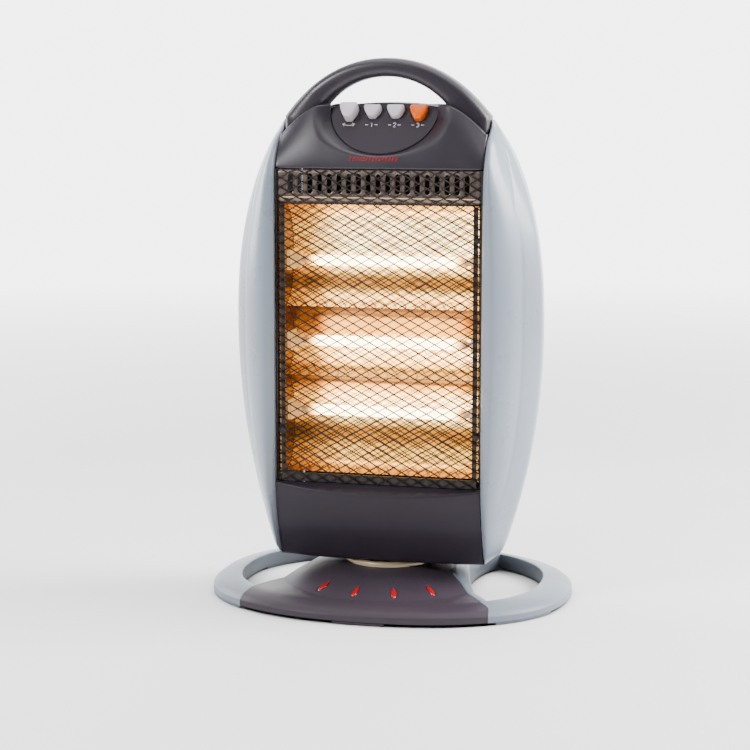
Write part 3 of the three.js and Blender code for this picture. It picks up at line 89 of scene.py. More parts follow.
BUTTON_PITCH, BUTTON_WIDTH = 24, 18
BUTTON_TOP_V = 54.3
BUTTON_HEIGHTS = [16.4, 12.8, 12.8, 15.6]
BUTTON_OUT, BUTTON_TRAVEL, BUTTON_BACK = 8, 4.5, 5
BUTTON_CLEAR = 0.5
BUTTON_EDGE = [(3.2, -0.1), (1.6, -0.6), (0.7, -1.5), (0.35, -2.8)]  # behind the face, and inside the outline
STEM, STEM_END, STEM_DROP = 6, 22, 6.5

LOWER_BULGE, LOWER_LEDGE_DROP = 10, 8

GUARD_Y = -51.5
DIAMOND_WIDTH, DIAMOND_HEIGHT = 17, 9.5
STRANDS = ((-1, 1.4, 1.0), (1, 1.05, 0.8))  # which way each set slants, and its strands' width and depth
FIRST_STRAND = 3  # height of each set's first strand above the guard's lower edge, at the left
PAINTED_REFLECTION_SHARE = 0.62  # size of the guard's painted reflection in the bright sheets
REFLECTOR_EDGES_Z = [413, 307, 235, 134]
REFLECTOR_LIP_Y, REFLECTOR_DEPTH = -36, 38
REFLECTOR_HALF = 103.3
SHEET = 1
TUBE_ZS = [353, 269, 196]
TUBE_Y, TUBE_RADIUS, TUBE_HALF = -15, 5.5, 90
# Strengths of the painted light on the tube caps and vent fold, on the end plates' lit sides, and on their
# hidden sides.
CERAMIC_GLOW, END_PLATE_GLOW, HIDDEN_GLOW = 0.42, 0.5, 0.05

BASE_HALF_WIDTH, BASE_HALF_DEPTH, BASE_POWER = 190.4, 149.1, 2.3
BASE_CENTRE_Y = 14.3
BASE_UNDERSIDE_Z, RIM_WALL_Z, RING_TOP_Z = 3, 9, 18.5
RING_INNER = 0.84
HUB_TOP_Z = 38
HUB_FOOT_RADIUS = RING_INNER * BASE_HALF_DEPTH - BASE_CENTRE_Y
FAN_BACK_Y = 8
INLAY_RADIUS, INLAY_LENGTH, INLAY_WIDTH = HUB_FOOT_RADIUS - 15, 17, 5.4
INLAY_ANGLES = [angle + 4.5 for angle in (-35, -11.7, 11.7, 35)]
INLAY_CROWN = [(1, -1.6), (1, -0.1), (0.94, 0.35), (0.82, 0.65), (0.62, 0.9), (0.38, 1.05), (0.14, 1.1)]
PADS = [(214, 28), (270, 12), (326, 28), (34, 28), (90, 12), (146, 28)]
# Painted shade: the share of their colour that the grey pads keep under the rim.
PAD_PAINTED_SHADE = 0.6
COLLAR_RADIUS, COLLAR_WIDTH = 46, 5

# ---------------------------------------------------------------- curves


def lerp(a, b, t):
    return a + (b - a) * t


def clamp(t, low=0.0, high=1.0):
    return max(low, min(high, t))


def smoothstep(low, high, value):
    t = clamp((value - low) / (high - low))
    return t * t * (3 - 2 * t)


def spread(start, end, count):
    return [lerp(start, end, i / (count - 1)) for i in range(count)]


def bump(distance, width):
    return math.exp(-((distance / width) ** 2))


def signed_power(value, power):
    return math.copysign(abs(value) ** power, value)


def full_turn(count):
    """Angles of equal steps round a circle."""
    return [2 * math.pi * i / count for i in range(count)]


def last_where(holds, low, high):
    """The last value from low to high for which a test that starts out true still holds."""
    for _ in range(40):
        middle = (low + high) / 2
        if holds(middle):
            low = middle
        else:
            high = middle
    return low


def through(points):
    """A smooth curve through (key, value) points, which turns only at a point."""
    last = len(points) - 1

    def slope(a, b):
        return (points[b][1] - points[a][1]) / (points[b][0] - points[a][0])

    def tangent(i):
        before, after = max(i - 1, 0), min(i + 1, last)
        turns = before < i < after and slope(before, i) * slope(i, after) <= 0
        return 0 if turns else slope(before, after)

    def at(key):
        if key <= points[0][0]:
            return points[0][1]
        if key >= points[last][0]:
            return points[last][1]
        i = next(n for n, p in enumerate(points) if p[0] > key) - 1
        (k0, v0), (k1, v1) = points[i], points[i + 1]
        m0, m1 = tangent(i) * (k1 - k0), tangent(i + 1) * (k1 - k0)
        t = (key - k0) / (k1 - k0)
        a = 2 * t**3 - 3 * t**2
        return (a + 1) * v0 + (t**3 - 2 * t**2 + t) * m0 - a * v1 + (t**3 - t**2) * m1

    return at


def flowing(a, b, c, d, t):
    """Value at t on a smooth curve from b to c, where a comes before and d after them."""
    return 0.5 * (2 * b + (c - a) * t + (2 * a - 5 * b + 4 * c - d) * t**2 + (3 * b - a - 3 * c + d) * t**3)


def smooth_line(points, steps, closed=False):
    """Points of a flowing line through the given ones, with steps on each stretch."""
    count = len(points)

    def point(i):
        return points[i % count if closed else clamp(i, 0, count - 1)]

    made = []
    for i in range(count if closed else count - 1):
        four = [point(i + k) for k in (-1, 0, 1, 2)]
        made += [tuple(flowing(*values, s / steps) for values in zip(*four)) for s in range(steps)]
    return made if closed else made + [tuple(points[-1])]


def rounded(start, knee, end, count):
    """Points of a rounded corner from start to end, drawn towards the knee."""
    return [start * (1 - t) ** 2 + knee * 2 * t * (1 - t) + end * t**2 for t in spread(0, 1, count)]


# ---------------------------------------------------------------- meshes


def grid(rows, around=False):
    """Points and four-sided faces of a grid given row by row; around joins each row's ends."""
    width = len(rows[0])
    points = [p for row in rows for p in row]
    faces = []
    for r in range(len(rows) - 1):
        for c in range(width if around else width - 1):
            d = (c + 1) % width
            faces.append((r * width + c, r * width + d, (r + 1) * width + d, (r + 1) * width + c))
    return points, faces


def loft(loops):
    """A closed skin through loops of equally many points."""
    points, faces = grid(loops, around=True)
    size, last = len(loops[0]), len(loops) - 1
    faces.append(tuple(reversed(range(size))))
    faces.append(tuple(last * size + i for i in range(size)))
    return points, faces


def lathe(profile, steps):
    """A ring with a closed profile of (radius, height) round the swivel's axis."""
    loops = [[(r * math.cos(a), r * math.sin(a), z) for r, z in profile] for a in full_turn(steps)]
    return grid(loops + loops[:1], around=True)


def together(*shapes):
    points, faces = [], []
    for p, f in shapes:
        start = len(points)
        points += p
        faces += [tuple(start + i for i in face) for face in f]
    return points, faces


def flipped(shape):
    points, faces = shape
    return [(-x, y, z) for x, y, z in points], [tuple(reversed(f)) for f in faces]


def add(name, shape, material, body, slot, stands_for=(), facing=None, thick=0, bevel=0, sharp=None):
    """One piece of the object. An open sheet says which way it faces and how thick it is."""
    mesh = bpy.data.meshes.new(name)
    points, faces = shape
    mesh.from_pydata([(x * MM, (y - BASE_CENTRE_Y) * MM, z * MM) for x, y, z in points], [], faces)
    bm = bmesh.new()
    bm.from_mesh(mesh)
    bmesh.ops.remove_doubles(bm, verts=bm.verts, dist=1e-6)
    bmesh.ops.dissolve_degenerate(bm, edges=bm.edges, dist=1e-7)
    bmesh.ops.recalc_face_normals(bm, faces=bm.faces)
    if facing:
        total = sum((f.normal * f.calc_area() for f in bm.faces), Vector())
        if total.dot(Vector(facing)) < 0:
            bmesh.ops.reverse_faces(bm, faces=bm.faces)
    bm.to_mesh(mesh)
    bm.free()
    mesh.shade_smooth()
    if sharp:
        mesh.set_sharp_from_angle(angle=math.radians(sharp))
    mesh.materials.append(material)
    piece = bpy.data.objects.new(name, mesh)
    bpy.context.scene.collection.objects.link(piece)
    if thick:
        solidify = piece.modifiers.new("wall", "SOLIDIFY")
        solidify.thickness = thick * MM
        solidify.offset = -1
    if bevel:
        round_edges(piece, bevel)
    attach(piece, body)
    if stands_for:
        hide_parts(*stands_for)
    return piece


def round_edges(piece, width):
    edge = piece.modifiers.new("edge", "BEVEL")
    edge.width = width * MM
    edge.segments = 3
    edge.limit_method = "ANGLE"
    edge.angle_limit = math.radians(40)
    piece.modifiers.new("shading", "WEIGHTED_NORMAL").keep_sharp = True


# ---------------------------------------------------------------- materials


def srgb(red, green, blue):
    """A colour on the screen's 0 to 255 scale as the shader's linear one."""

    def linear(v):
        return v / 255 / 12.92 if v <= 10 else ((v / 255 + 0.055) / 1.055) ** 2.4

    return (linear(red), linear(green), linear(blue), 1)


class Nodes:
    """Short ways to add and join the nodes of a shader's tree."""

    def __init__(self, tree):
        self.nodes, self.links = tree.nodes, tree.links

    def put(self, socket, value):
        """Feeds a socket from another one, or sets it to a plain value."""
        if isinstance(value, bpy.types.NodeSocket):
            self.links.new(value, socket)
        else:
            socket.default_value = value

    def node(self, kind, **inputs):
        made = self.nodes.new("ShaderNode" + kind)
        for name, value in inputs.items():
            self.put(made.inputs[name.replace("_", " ")], value)
        return made

    def ranged(self, value, low, high, from_low=0.3, from_high=0.7):
        made = self.node("MapRange", Value=value, From_Min=from_low, From_Max=from_high)
        self.put(made.inputs["To Min"], low)
        self.put(made.inputs["To Max"], high)
        return made.outputs["Result"]

    def math(self, operation, first, second=0.0):
        made = self.node("Math")
        made.operation = operation
        for socket, value in zip(made.inputs, (first, second)):
            self.put(socket, value)
        return made.outputs["Value"]


class Finish(Nodes):
    """A material in the making: its shader and what is fed to it."""

    def __init__(self, name):
        self.material = bpy.data.materials.new(name)
        self.material.use_nodes = True
        super().__init__(self.material.node_tree)
        self.shader = self.nodes["Principled BSDF"]
        self.place = self.node("TexCoord").outputs["Object"]

    def feed(self, socket, value):
        self.put(self.shader.inputs[socket], value)

    def stretched(self, scale):
        return self.node("Mapping", Vector=self.place, Scale=scale).outputs["Vector"]

    def noise(self, scale, detail=2.0, along=None):
        made = self.node("TexNoise", Vector=along or self.place, Scale=scale, Detail=detail)
        return made.outputs["Fac"]

    def ramp(self, value, *stops):
        made = self.node("ValToRGB", Fac=value)
        elements = made.color_ramp.elements
        elements[0].position, elements[0].color = stops[0]
        elements[1].position, elements[1].color = stops[-1]
        for position, colour in stops[1:-1]:
            elements.new(position).color = colour
        return made.outputs["Color"]

    def stored(self, name):
        """A number that the mesh stores at each of its points."""
        made = self.node("Attribute")
        made.attribute_name = name
        return made.outputs["Fac"]

    def painted_guard_reflection(self):
        """Painted reflection of the guard's diamonds in the polished sheet behind them, smaller and blurred.
        """
        wide, high = PAINTED_REFLECTION_SHARE * DIAMOND_WIDTH * MM, PAINTED_REFLECTION_SHARE * DIAMOND_HEIGHT * MM
        dark = None
        for slant in (1, -1):
            across = self.node("VectorMath", Vector=self.place)
            across.operation = "DOT_PRODUCT"
            across.inputs[1].default_value = (1 / wide, 0, slant / high)
            wavy = self.math("ADD", across.outputs["Value"], self.ranged(self.noise(60, 2), -0.12, 0.12))
            off = self.math("ABSOLUTE", self.math("SUBTRACT", self.math("FRACT", wavy), 0.5))
            line = self.ranged(off, 0.3, 1, 0.05, 0.14)
            dark = line if dark is None else self.math("MULTIPLY", dark, line)
        return dark

    def relief(self, height, strength, distance):
        made = self.node("Bump", Height=height, Strength=strength, Distance=distance)
        self.feed("Normal", made.outputs["Normal"])


def shade(colour, factor):
    return (*(min(1, v * factor) for v in colour[:3]), 1)


def moulded(name, colour, roughness, grain=0.12, cloud=0.06, coat=0.0, shine=0.5, shaded=False):
    """Moulded plastic: a faint cloudiness in its colour, a fine spark-eroded grain, an uneven gloss.

    Where it is shaded, an attribute of the mesh says how much of the colour is left: painted shade.
    """
    made = Finish(name)
    cloudy = made.noise(9, 3)
    painted = made.ramp(cloudy, (0.3, shade(colour, 1 - cloud)), (0.7, shade(colour, 1 + cloud)))
    if shaded:
        darker = made.node("VectorMath", Vector=painted)
        darker.operation = "SCALE"
        made.put(darker.inputs["Scale"], made.stored("painted_shade"))
        painted = darker.outputs["Vector"]
    made.feed("Base Color", painted)
    made.feed("Roughness", made.ranged(made.noise(35, 3), roughness - 0.04, roughness + 0.04))
    made.relief(made.noise(1400, 3), grain, 0.0002)
    made.feed("Specular IOR Level", shine)
    made.feed("Coat Weight", coat)
    made.feed("Coat Roughness", 0.12)
    return made.material


def rolled(name, colour, roughness, stretch=(4, 200, 200), metallic=1.0):
    """Rolled or drawn metal: fine lines one way, a slightly uneven gloss and colour."""
    made = Finish(name)
    lines = made.noise(6, 4, made.stretched(stretch))
    made.feed("Base Color", made.ramp(lines, (0.3, shade(colour, 0.86)), (0.7, shade(colour, 1.08))))
    made.feed("Roughness", made.ranged(lines, roughness - 0.06, roughness + 0.08))
    made.feed("Metallic", metallic)
    made.relief(lines, 0.08, 0.0002)
    return made.material


def glowing(name, base, stops, strength, roughness, metallic, lattice=False):
    """A surface that gives off light as strongly as its mesh's glow attribute says: the tubes' own light, and
    painted light on the parts that the tubes light.
    """
    made = Finish(name)
    streaks = made.ranged(made.noise(30, 3, made.stretched((1, 6, 9))), 0.86, 1.12)
    lit = made.math("MULTIPLY", made.stored("glow"), streaks)
    # The guard's painted reflection cuts dark lines into the painted light.
    if lattice:
        lit = made.math("MULTIPLY", lit, made.painted_guard_reflection())
    made.feed("Base Color", made.ramp(made.noise(20), (0.3, shade(base, 0.85)), (0.7, base)))
    made.feed("Emission Color", made.ramp(lit, *stops))
    made.feed("Emission Strength", made.math("MULTIPLY", made.math("POWER", lit, 1.6), strength))
    made.feed("Roughness", made.ranged(made.noise(50, 3), roughness - 0.04, roughness + 0.05))
    made.feed("Metallic", metallic)
    made.relief(made.noise(90, 3, made.stretched((0.4, 1, 1))), 0.1, 0.0006)
    return made.material


PLUM = moulded("plum_plastic", srgb(42, 36, 45), 0.36, grain=0.05, shine=0.46)
# A darker, less glossy copy of the plum plastic for the lower panel: painted shade.
PLUM_SHADED_COPY = moulded("plum_shaded_copy_plastic", srgb(39, 33, 42), 0.42, grain=0.1, shine=0.2)
PLUM_BASE = moulded("plum_base_plastic", srgb(55, 47, 56), 0.44, grain=0.14, shine=0.25)
GREY = moulded("grey_plastic", srgb(137, 147, 160), 0.3, grain=0.05, cloud=0.012, coat=0.15, shaded=True)
GREY_BASE = moulded("grey_base_plastic", srgb(112, 121, 133), 0.42, grain=0.1, cloud=0.02, shaded=True)
DARK = moulded("console_plastic", srgb(47, 41, 49), 0.55, grain=0.2, shine=0.25)
BLACK = moulded("black_plastic", srgb(22, 21, 22), 0.7, grain=0.2)
INNER = moulded("inner_plastic", srgb(205, 200, 190), 0.5)
WHITE = moulded("white_plastic", srgb(206, 198, 206), 0.2, grain=0.02, cloud=0.02, coat=0.4)
ORANGE = moulded("orange_plastic", srgb(230, 96, 0), 0.24, grain=0.02, cloud=0.06, coat=0.1, shine=0.25)
RED = moulded("red_lens", srgb(172, 0, 16), 0.18, grain=0.02, cloud=0.15, coat=0.4, shine=0.3)
INK = moulded("legend_ink", srgb(200, 196, 204), 0.5, grain=0.05)
RED_INK = moulded("red_ink", srgb(150, 0, 12), 0.5, grain=0.05, shine=0.2)
CREAM = rolled("collar_metal", srgb(166, 148, 120), 0.34, stretch=(3, 3, 300), metallic=0.4)
STEEL = rolled("steel", srgb(176, 172, 166), 0.34)
WIRE = rolled("wire", srgb(28, 19, 16), 0.5, stretch=(40, 40, 40), metallic=0.2)
FRAME = rolled("dark_sheet", srgb(36, 27, 24), 0.55, stretch=(60, 60, 4), metallic=0.2)
VENT = rolled("vent_sheet", srgb(116, 103, 95), 0.34, stretch=(200, 60, 3), metallic=0.8)
# Colours of the tubes' light, and of the painted light on the reflectors, end plates, caps and vent fold.
GLOW_COLOURS = [
    (0.05, (0.5, 0.14, 0.01, 1)),
    (0.3, (1, 0.34, 0.03, 1)),
    (0.55, (1, 0.55, 0.09, 1)),
    (1.0, (1, 0.83, 0.46, 1)),
]
# Painted light: the reflectors, end plates, tube caps and vent fold give off light where the tubes' light
# falls on them; only the tubes are lamps.
MIRROR_PAINTED_GLOW = glowing("reflector_sheet", srgb(146, 108, 70), GLOW_COLOURS, 6.5, 0.18, 1.0, lattice=True)
HOT = glowing("lit_tube", srgb(220, 214, 200), GLOW_COLOURS, 14, 0.1, 0.0)
CERAMIC_PAINTED_GLOW = glowing("ceramic", srgb(206, 190, 166), GLOW_COLOURS, 3, 0.6, 0.0)

# ---------------------------------------------------------------- the body's form


def half_width(z):
    """Half width of the whole outline at a level."""
    if z >= WIDEST_Z:
        t = min((z - WIDEST_Z) / (HEIGHT - WIDEST_Z), 1)
        return BODY_HALF_WIDTH * (1 - t**UPPER_POWER) ** (1 / UPPER_ROOT)
    t = (WIDEST_Z - z) / LOWER_REACH
    return BODY_HALF_WIDTH * (1 - t**LOWER_POWER) ** (1 / LOWER_ROOT)


seam_front = through(
    [
        (BODY_BOTTOM_Z, FACE_Y + 20),
        (BODY_BOTTOM_Z + 17, FACE_Y + 12.5),
        (BODY_BOTTOM_Z + 40, FACE_Y + 4),
        (GRILLE_BOTTOM_Z, FACE_Y - 4),
        (WIDEST_Z, FACE_Y - 5),
        (GRILLE_TOP_Z - 20, FACE_Y - 3),
        (GRILLE_TOP_Z, FACE_Y),
        (GRILLE_TOP_Z + 20, FACE_Y + 11.5),
        (COVER_TOP_Z - 8, FACE_Y + 22),
        (COVER_TOP_Z, FACE_Y + 36),
        (COVER_TIP_Z, FACE_Y + 43),
    ]
)
REAR_FLAT = (76, 412)
seam_rear = through(
    [
        (BODY_BOTTOM_Z, BACK_Y - 16),
        (BODY_BOTTOM_Z + 14, BACK_Y - 6),
        (REAR_FLAT[0], BACK_Y),
        (REAR_FLAT[1], BACK_Y),
        (GRILLE_TOP_Z, BACK_Y - 3),
        (GRILLE_TOP_Z + 20, BACK_Y - 15),
        (COVER_TOP_Z - 8, BACK_Y - 28),
        (COVER_TOP_Z, BACK_Y - 42),
        (COVER_TIP_Z, BACK_Y - 49),
    ]
)


def crest(x):
    """Level of the line above which the handle rises."""
    t = (abs(x) - CREST_FLAT_X) / (SEAM_X - CREST_FLAT_X)
    if t <= 0:
        return CREST_Z
    return CREST_Z - (CREST_Z - CREST_SEAM_Z) * min(t, 1) ** (1 / CREST_ROUND)


def lean(x, z):
    """Share of the way back to the crest that the front and rear faces lean at a place."""
    t = (z - GRILLE_TOP_Z) / (crest(x) - GRILLE_TOP_Z)
    return clamp(t) ** LEAN_POWER


def face_y(x, z):
    return lerp(FACE_Y, FRONT_CREST_Y, lean(x, z))


# Round a cover's section from its front seam edge to its rear one: the share of the way out from the
# seam, and the share of the way from the widest point forwards (below 0) or back (above 0).
COVER_SECTION = [
    (0, -1),
    (0.09, -1.085),
    (0.24, -1.12),
    (0.5, -0.9),
    (0.77, -0.5),
    (0.93, -0.22),
    (1, 0),
    (0.97, 0.28),
    (0.86, 0.55),
    (0.62, 0.8),
    (0.32, 0.95),
    (0, 1),
]


# How far inside the outline the covers' crease runs, by level.
crease_inside = through([(150, 14), (292, 16.5), (400, 12), (440, 7.5), (474, 3)])


def crease_depth(z):
    """Depth of the crease, with a short deeper notch at its upper end."""
    begun, ended = smoothstep(*CREASE_START_Z, z), smoothstep(*CREASE_END_Z, z)
    return (1.7 + 1.6 * bump(z - CREASE_END_Z[0], 5)) * begun * (1 - ended)


def cover_loop(z, section):
    """A cover's section at a level, with its rounded foot and its crease."""
    from_bottom = min(z - BODY_BOTTOM_Z, COVER_CORNER)
    corner = COVER_CORNER - math.sqrt(COVER_CORNER**2 - (COVER_CORNER - from_bottom) ** 2)
    out = half_width(z) - SEAM_X - corner
    front = seam_front(z) + corner / 2
    rear = seam_rear(z) - corner / 2
    loop = []
    for a, b in section:
        x = SEAM_X + out * a
        y = MID_Y + b * ((MID_Y - front) if b < 0 else (rear - MID_Y))
        inside = SEAM_X + out - x
        if b < 0:
            line = crease_inside(z)
            sunk = 0.7 * bump(inside - line, 1.0) + 0.6 * smoothstep(line + 7, line, inside)
            y += crease_depth(z) * sunk * smoothstep(0, 0.3, -b)
        loop.append((x, y, z))
    return loop


# Painted shade: less of the covers' colour is left towards their foot.
def cover_painted_shade(x, y, z):
    return lerp(COVER_FOOT_SHADE, 1, smoothstep(BODY_BOTTOM_Z, COVER_UNSHADED_Z, z))


def side_covers():
    """Closed shells in level sections, the left one a mirror image of the right one."""
    section = smooth_line(COVER_SECTION, 9)
    low = [BODY_BOTTOM_Z + COVER_CORNER * (1 - math.cos(a)) for a in spread(0, math.pi / 2, 12)]
    levels = low + spread(BODY_BOTTOM_Z + COVER_CORNER, COVER_TIP_Z, 114)[1:]
    right = loft([cover_loop(z, section) for z in levels])
    for name, shape in (("right_side_cover", right), ("left_side_cover", flipped(right))):
        cover = add(name + "_shell", shape, GREY, "head", "grey_plastic", [name], bevel=1.1)
        # The covers darken towards their foot: painted shade.
        set_attribute(cover, "painted_shade", cover_painted_shade)


# ---------------------------------------------------------------- upper front panel


def console_y(z):
    """Depth of the console's face at a level."""
    return lerp(CONSOLE_LOW_Y, CONSOLE_TOP_Y, (z - CONSOLE_LOW_Z) / (CONSOLE_TOP_Z - CONSOLE_LOW_Z))


def scoop_lip(angle, up):
    """Where the scoop meets the panel's face: round its half ellipse, or straight up from either end."""
    half = lerp(SCOOP_LOW_HALF_WIDTH, SCOOP_HIGH_HALF_WIDTH, abs(math.cos(angle)) ** 3)
    x, z = half * math.cos(angle), SCOOP_CENTRE_Z + SCOOP_DROP * math.sin(angle) + up
    return Vector((x, face_y(x, z), z))


def scoop_foot(angle, up):
    """Where the scoop's wall ends, just behind the console's edge."""
    x, z = CONSOLE_HALF_WIDTH * math.cos(angle), SCOOP_CENTRE_Z + CONSOLE_DROP * math.sin(angle) + up
    return Vector((x, min(console_y(z) + 1.5, HANDLE_FRONT_Y - GAP), z))


def upper_front_panel():
    """Columns that run from the console up the scoop's wall, over its lip and out to the panel's edge."""
    inset = 1.8  # where the face starts to turn over at its outer edges
    back = HANDLE_FRONT_Y - GAP
    bottom_z, seam_x = GRILLE_TOP_Z + GAP + inset, PANEL_HALF_WIDTH - inset
    top_z = crest(seam_x) - inset
    arc = spread(math.pi, 2 * math.pi, 97)
    stations = [(math.pi, 3.0)] + [(a, 0.0) for a in arc] + [(2 * math.pi, 3.0)]
    corner = next(i for i, (a, _) in enumerate(stations) if a > math.radians(212))
    last = len(stations) - 1

    def target(i):
        """Point on the panel's outer edge that a station looks out to."""
        j = min(i, last - i)
        side = -1 if i <= last / 2 else 1
        if j <= corner:
            return side * seam_x, lerp(top_z, bottom_z, j / corner)
        share = (j - corner) / (last / 2 - corner)
        return side * seam_x * (1 - share), bottom_z

    def column(i):
        j = min(i, last - i)
        angle, up = stations[i]
        edge, foot = scoop_lip(angle, up), scoop_foot(angle, up)
        tx, tz = target(i)
        round_lip = lerp(2.6, 6.5, abs(math.cos(angle)) ** 2)
        start = min(0.6, round_lip / math.hypot(tx - edge[0], tz - edge[2]))
        fade = (1 - clamp(j / corner)) ** 1.5

        def on_face(share):
            x, z = lerp(edge[0], tx, share), lerp(edge[2], tz, share)
            along = lerp(abs(edge[0]), seam_x, share)
            if fade > 0:
                z += fade * (crest(along) - inset - lerp(edge[2], top_z, share))
            return x, face_y(x, z), z

        wall = [foot.lerp(edge, t) for t in spread(0, 1 - min(0.5, round_lip / (edge - foot).length), 8)]
        lip = rounded(wall[-1], edge, Vector(on_face(start)), 9)[1:-1]
        face = [on_face(lerp(start, 1, t)) for t in spread(0, 1, 22)]
        x, y, z = face[-1]
        out_x, out_z = (-1 if tx < 0 else 1, 0) if j <= corner else (0, -1)
        turns = ((1.3, 0.5), (inset, inset), (inset, 7))
        turn = [(x + out_x * out, y + deep, z + out_z * out) for out, deep in turns]
        return [tuple(p) for p in wall + lip] + face + turn

    def crest_return(column):
        """The edge of a column turned over at the crest and run back to the handle."""

        def turned(deep, lift):
            return [(x, max(y, min(back, y + inset * deep)), z + inset * lift) for x, y, z in column]

        return [[(x, max(y, back), z + inset) for x, y, z in column], turned(1, 1), turned(0.3, 0.7)]

    columns = [column(i) for i in range(len(stations))]
    shape = grid(crest_return(columns[0]) + columns + crest_return(columns[-1])[::-1])
    dress = (PLUM, "head", "plum_plastic", ["upper_front_panel"])
    add("upper_front_panel_shell", shape, *dress, facing=FORWARD, thick=1.2)


def warning_bars():
    """A plain row of slanted red bars low on the panel."""
    bars = 15
    left, right, low, high = -29.5, 21, 457.2, 461
    pitch = (right - left) / bars
    shapes = []
    for i in range(bars):
        x0 = left + i * pitch
        rows = []
        for t in spread(0, 1, 4):
            z = lerp(low, high, t)
            x = x0 + 1.1 * t
            rows.append([(v, face_y(v, z) - 0.12, z) for v in spread(x, x + pitch * 0.5, 3)])
        shapes.append(grid(rows))
    add("warning_bars", together(*shapes), RED_INK, "head", "red_lens", facing=FORWARD, thick=0.1)


# ---------------------------------------------------------------- lower front panel and rear panel


def lower_front_panel():
    """A bowed face below a sloping ledge, in upright columns."""
    turn = 2.2  # height over which the ledge turns down into the face
    columns = []
    for x in spread(-PANEL_HALF_WIDTH, PANEL_HALF_WIDTH, 73):
        crown = 1 - (x / SEAM_X) ** 2
        ledge_z = GRILLE_BOTTOM_Z - 1 - LOWER_LEDGE_DROP * crown

        def face(z):
            return seam_front(z) - LOWER_BULGE * crown * lerp(0.8, 1, (z - BODY_BOTTOM_Z) / 80)

        back = Vector((x, FACE_Y + 1.5, GRILLE_BOTTOM_Z - GAP))
        knee = Vector((x, face(ledge_z), ledge_z))
        start = back.lerp(knee, 0.78)
        end = Vector((x, face(ledge_z - turn), ledge_z - turn))
        ledge = [back.lerp(start, t) for t in spread(0, 1, 4)[:-1]]
        front = [Vector((x, face(z), z)) for z in spread(ledge_z - turn, BODY_BOTTOM_Z + 2.5, 40)[1:]]
        hem = ((0.4, 0.8), (2, 0), (6, 0))
        under = [(x, face(BODY_BOTTOM_Z) + deep, BODY_BOTTOM_Z + up) for deep, up in hem]
        columns.append([tuple(p) for p in ledge + rounded(start, knee, end, 7) + front] + under)
    # The lower panel takes the plum plastic's darker copy: painted shade.
    dress = (PLUM_SHADED_COPY, "head", "plum_plastic", ["lower_front_panel"])
    add("lower_front_panel_shell", grid(columns), *dress, facing=FORWARD, thick=2, bevel=0.7)


REAR_VENT_HEIGHT = 5
UPPER_VENTS_Z, LOWER_VENTS_Z = (330, 402), (140, 188)
REAR_VENTS = [(z, z + REAR_VENT_HEIGHT) for z in spread(*UPPER_VENTS_Z, 7) + spread(*LOWER_VENTS_Z, 5)]
REAR_VENT_HALF = 62


def rear_panel():
    """The rear shell with its vents cut out, and a slanted blade behind each of them."""
    foot, head = REAR_FLAT
    flat = [z for vent in REAR_VENTS for z in vent] + spread(foot, LOWER_VENTS_Z[0], 8) + [head]
    flat += spread(LOWER_VENTS_Z[1] + REAR_VENT_HEIGHT, UPPER_VENTS_Z[0], 10)
    levels = spread(BODY_BOTTOM_Z, foot, 12)[:-1] + sorted(set(flat)) + spread(head, GRILLE_TOP_Z, 8)[1:]
    inner = spread(-REAR_VENT_HALF, REAR_VENT_HALF, 21)
    outer = spread(REAR_VENT_HALF, PANEL_HALF_WIDTH, 12)[1:]
    across = [-x for x in reversed(outer)] + inner + outer
    rows = [[(x, seam_rear(z), z) for x in across] for z in levels]
    for share in spread(0, 1, 20)[1:]:
        row = []
        for x in across:
            z = lerp(GRILLE_TOP_Z, crest(x), share)
            row.append((x, lerp(BACK_Y - 3, REAR_CREST_Y, lean(x, z)), z))
        rows.append(row)
    points, faces = grid(rows)

    def open_here(face):
        middle = [sum(points[i][axis] for i in face) / 4 for axis in range(3)]
        return abs(middle[0]) < REAR_VENT_HALF and any(low < middle[2] < high for low, high in REAR_VENTS)

    shell = points, [f for f in faces if not open_here(f)]
    dress = (PLUM, "head", "plum_plastic", ["rear_panel"])
    add("rear_panel_shell", shell, *dress, facing=BACKWARD, thick=WALL, bevel=0.6)
    blades = []
    for low, high in REAR_VENTS:
        slope = [(BACK_Y - WALL - 7 * t, lerp(high + 0.6, low - 0.4, t)) for t in (0, 0.5, 1)]
        blades.append(grid([[(x, y, z) for x in spread(-60, 60, 9)] for y, z in slope]))
    add("rear_louvres", together(*blades), BLACK, "head", "black_plastic", facing=BACKWARD, thick=1)


# ---------------------------------------------------------------- handle


def outline_on_ray(angle, centre_z):
    """How far out the whole outline lies from the middle of the grip, at an angle."""

    def inside(reach):
        z = centre_z + reach * math.sin(angle)
        return z < HEIGHT and reach * math.cos(angle) < half_width(z)

    return last_where(inside, 0, HEIGHT)


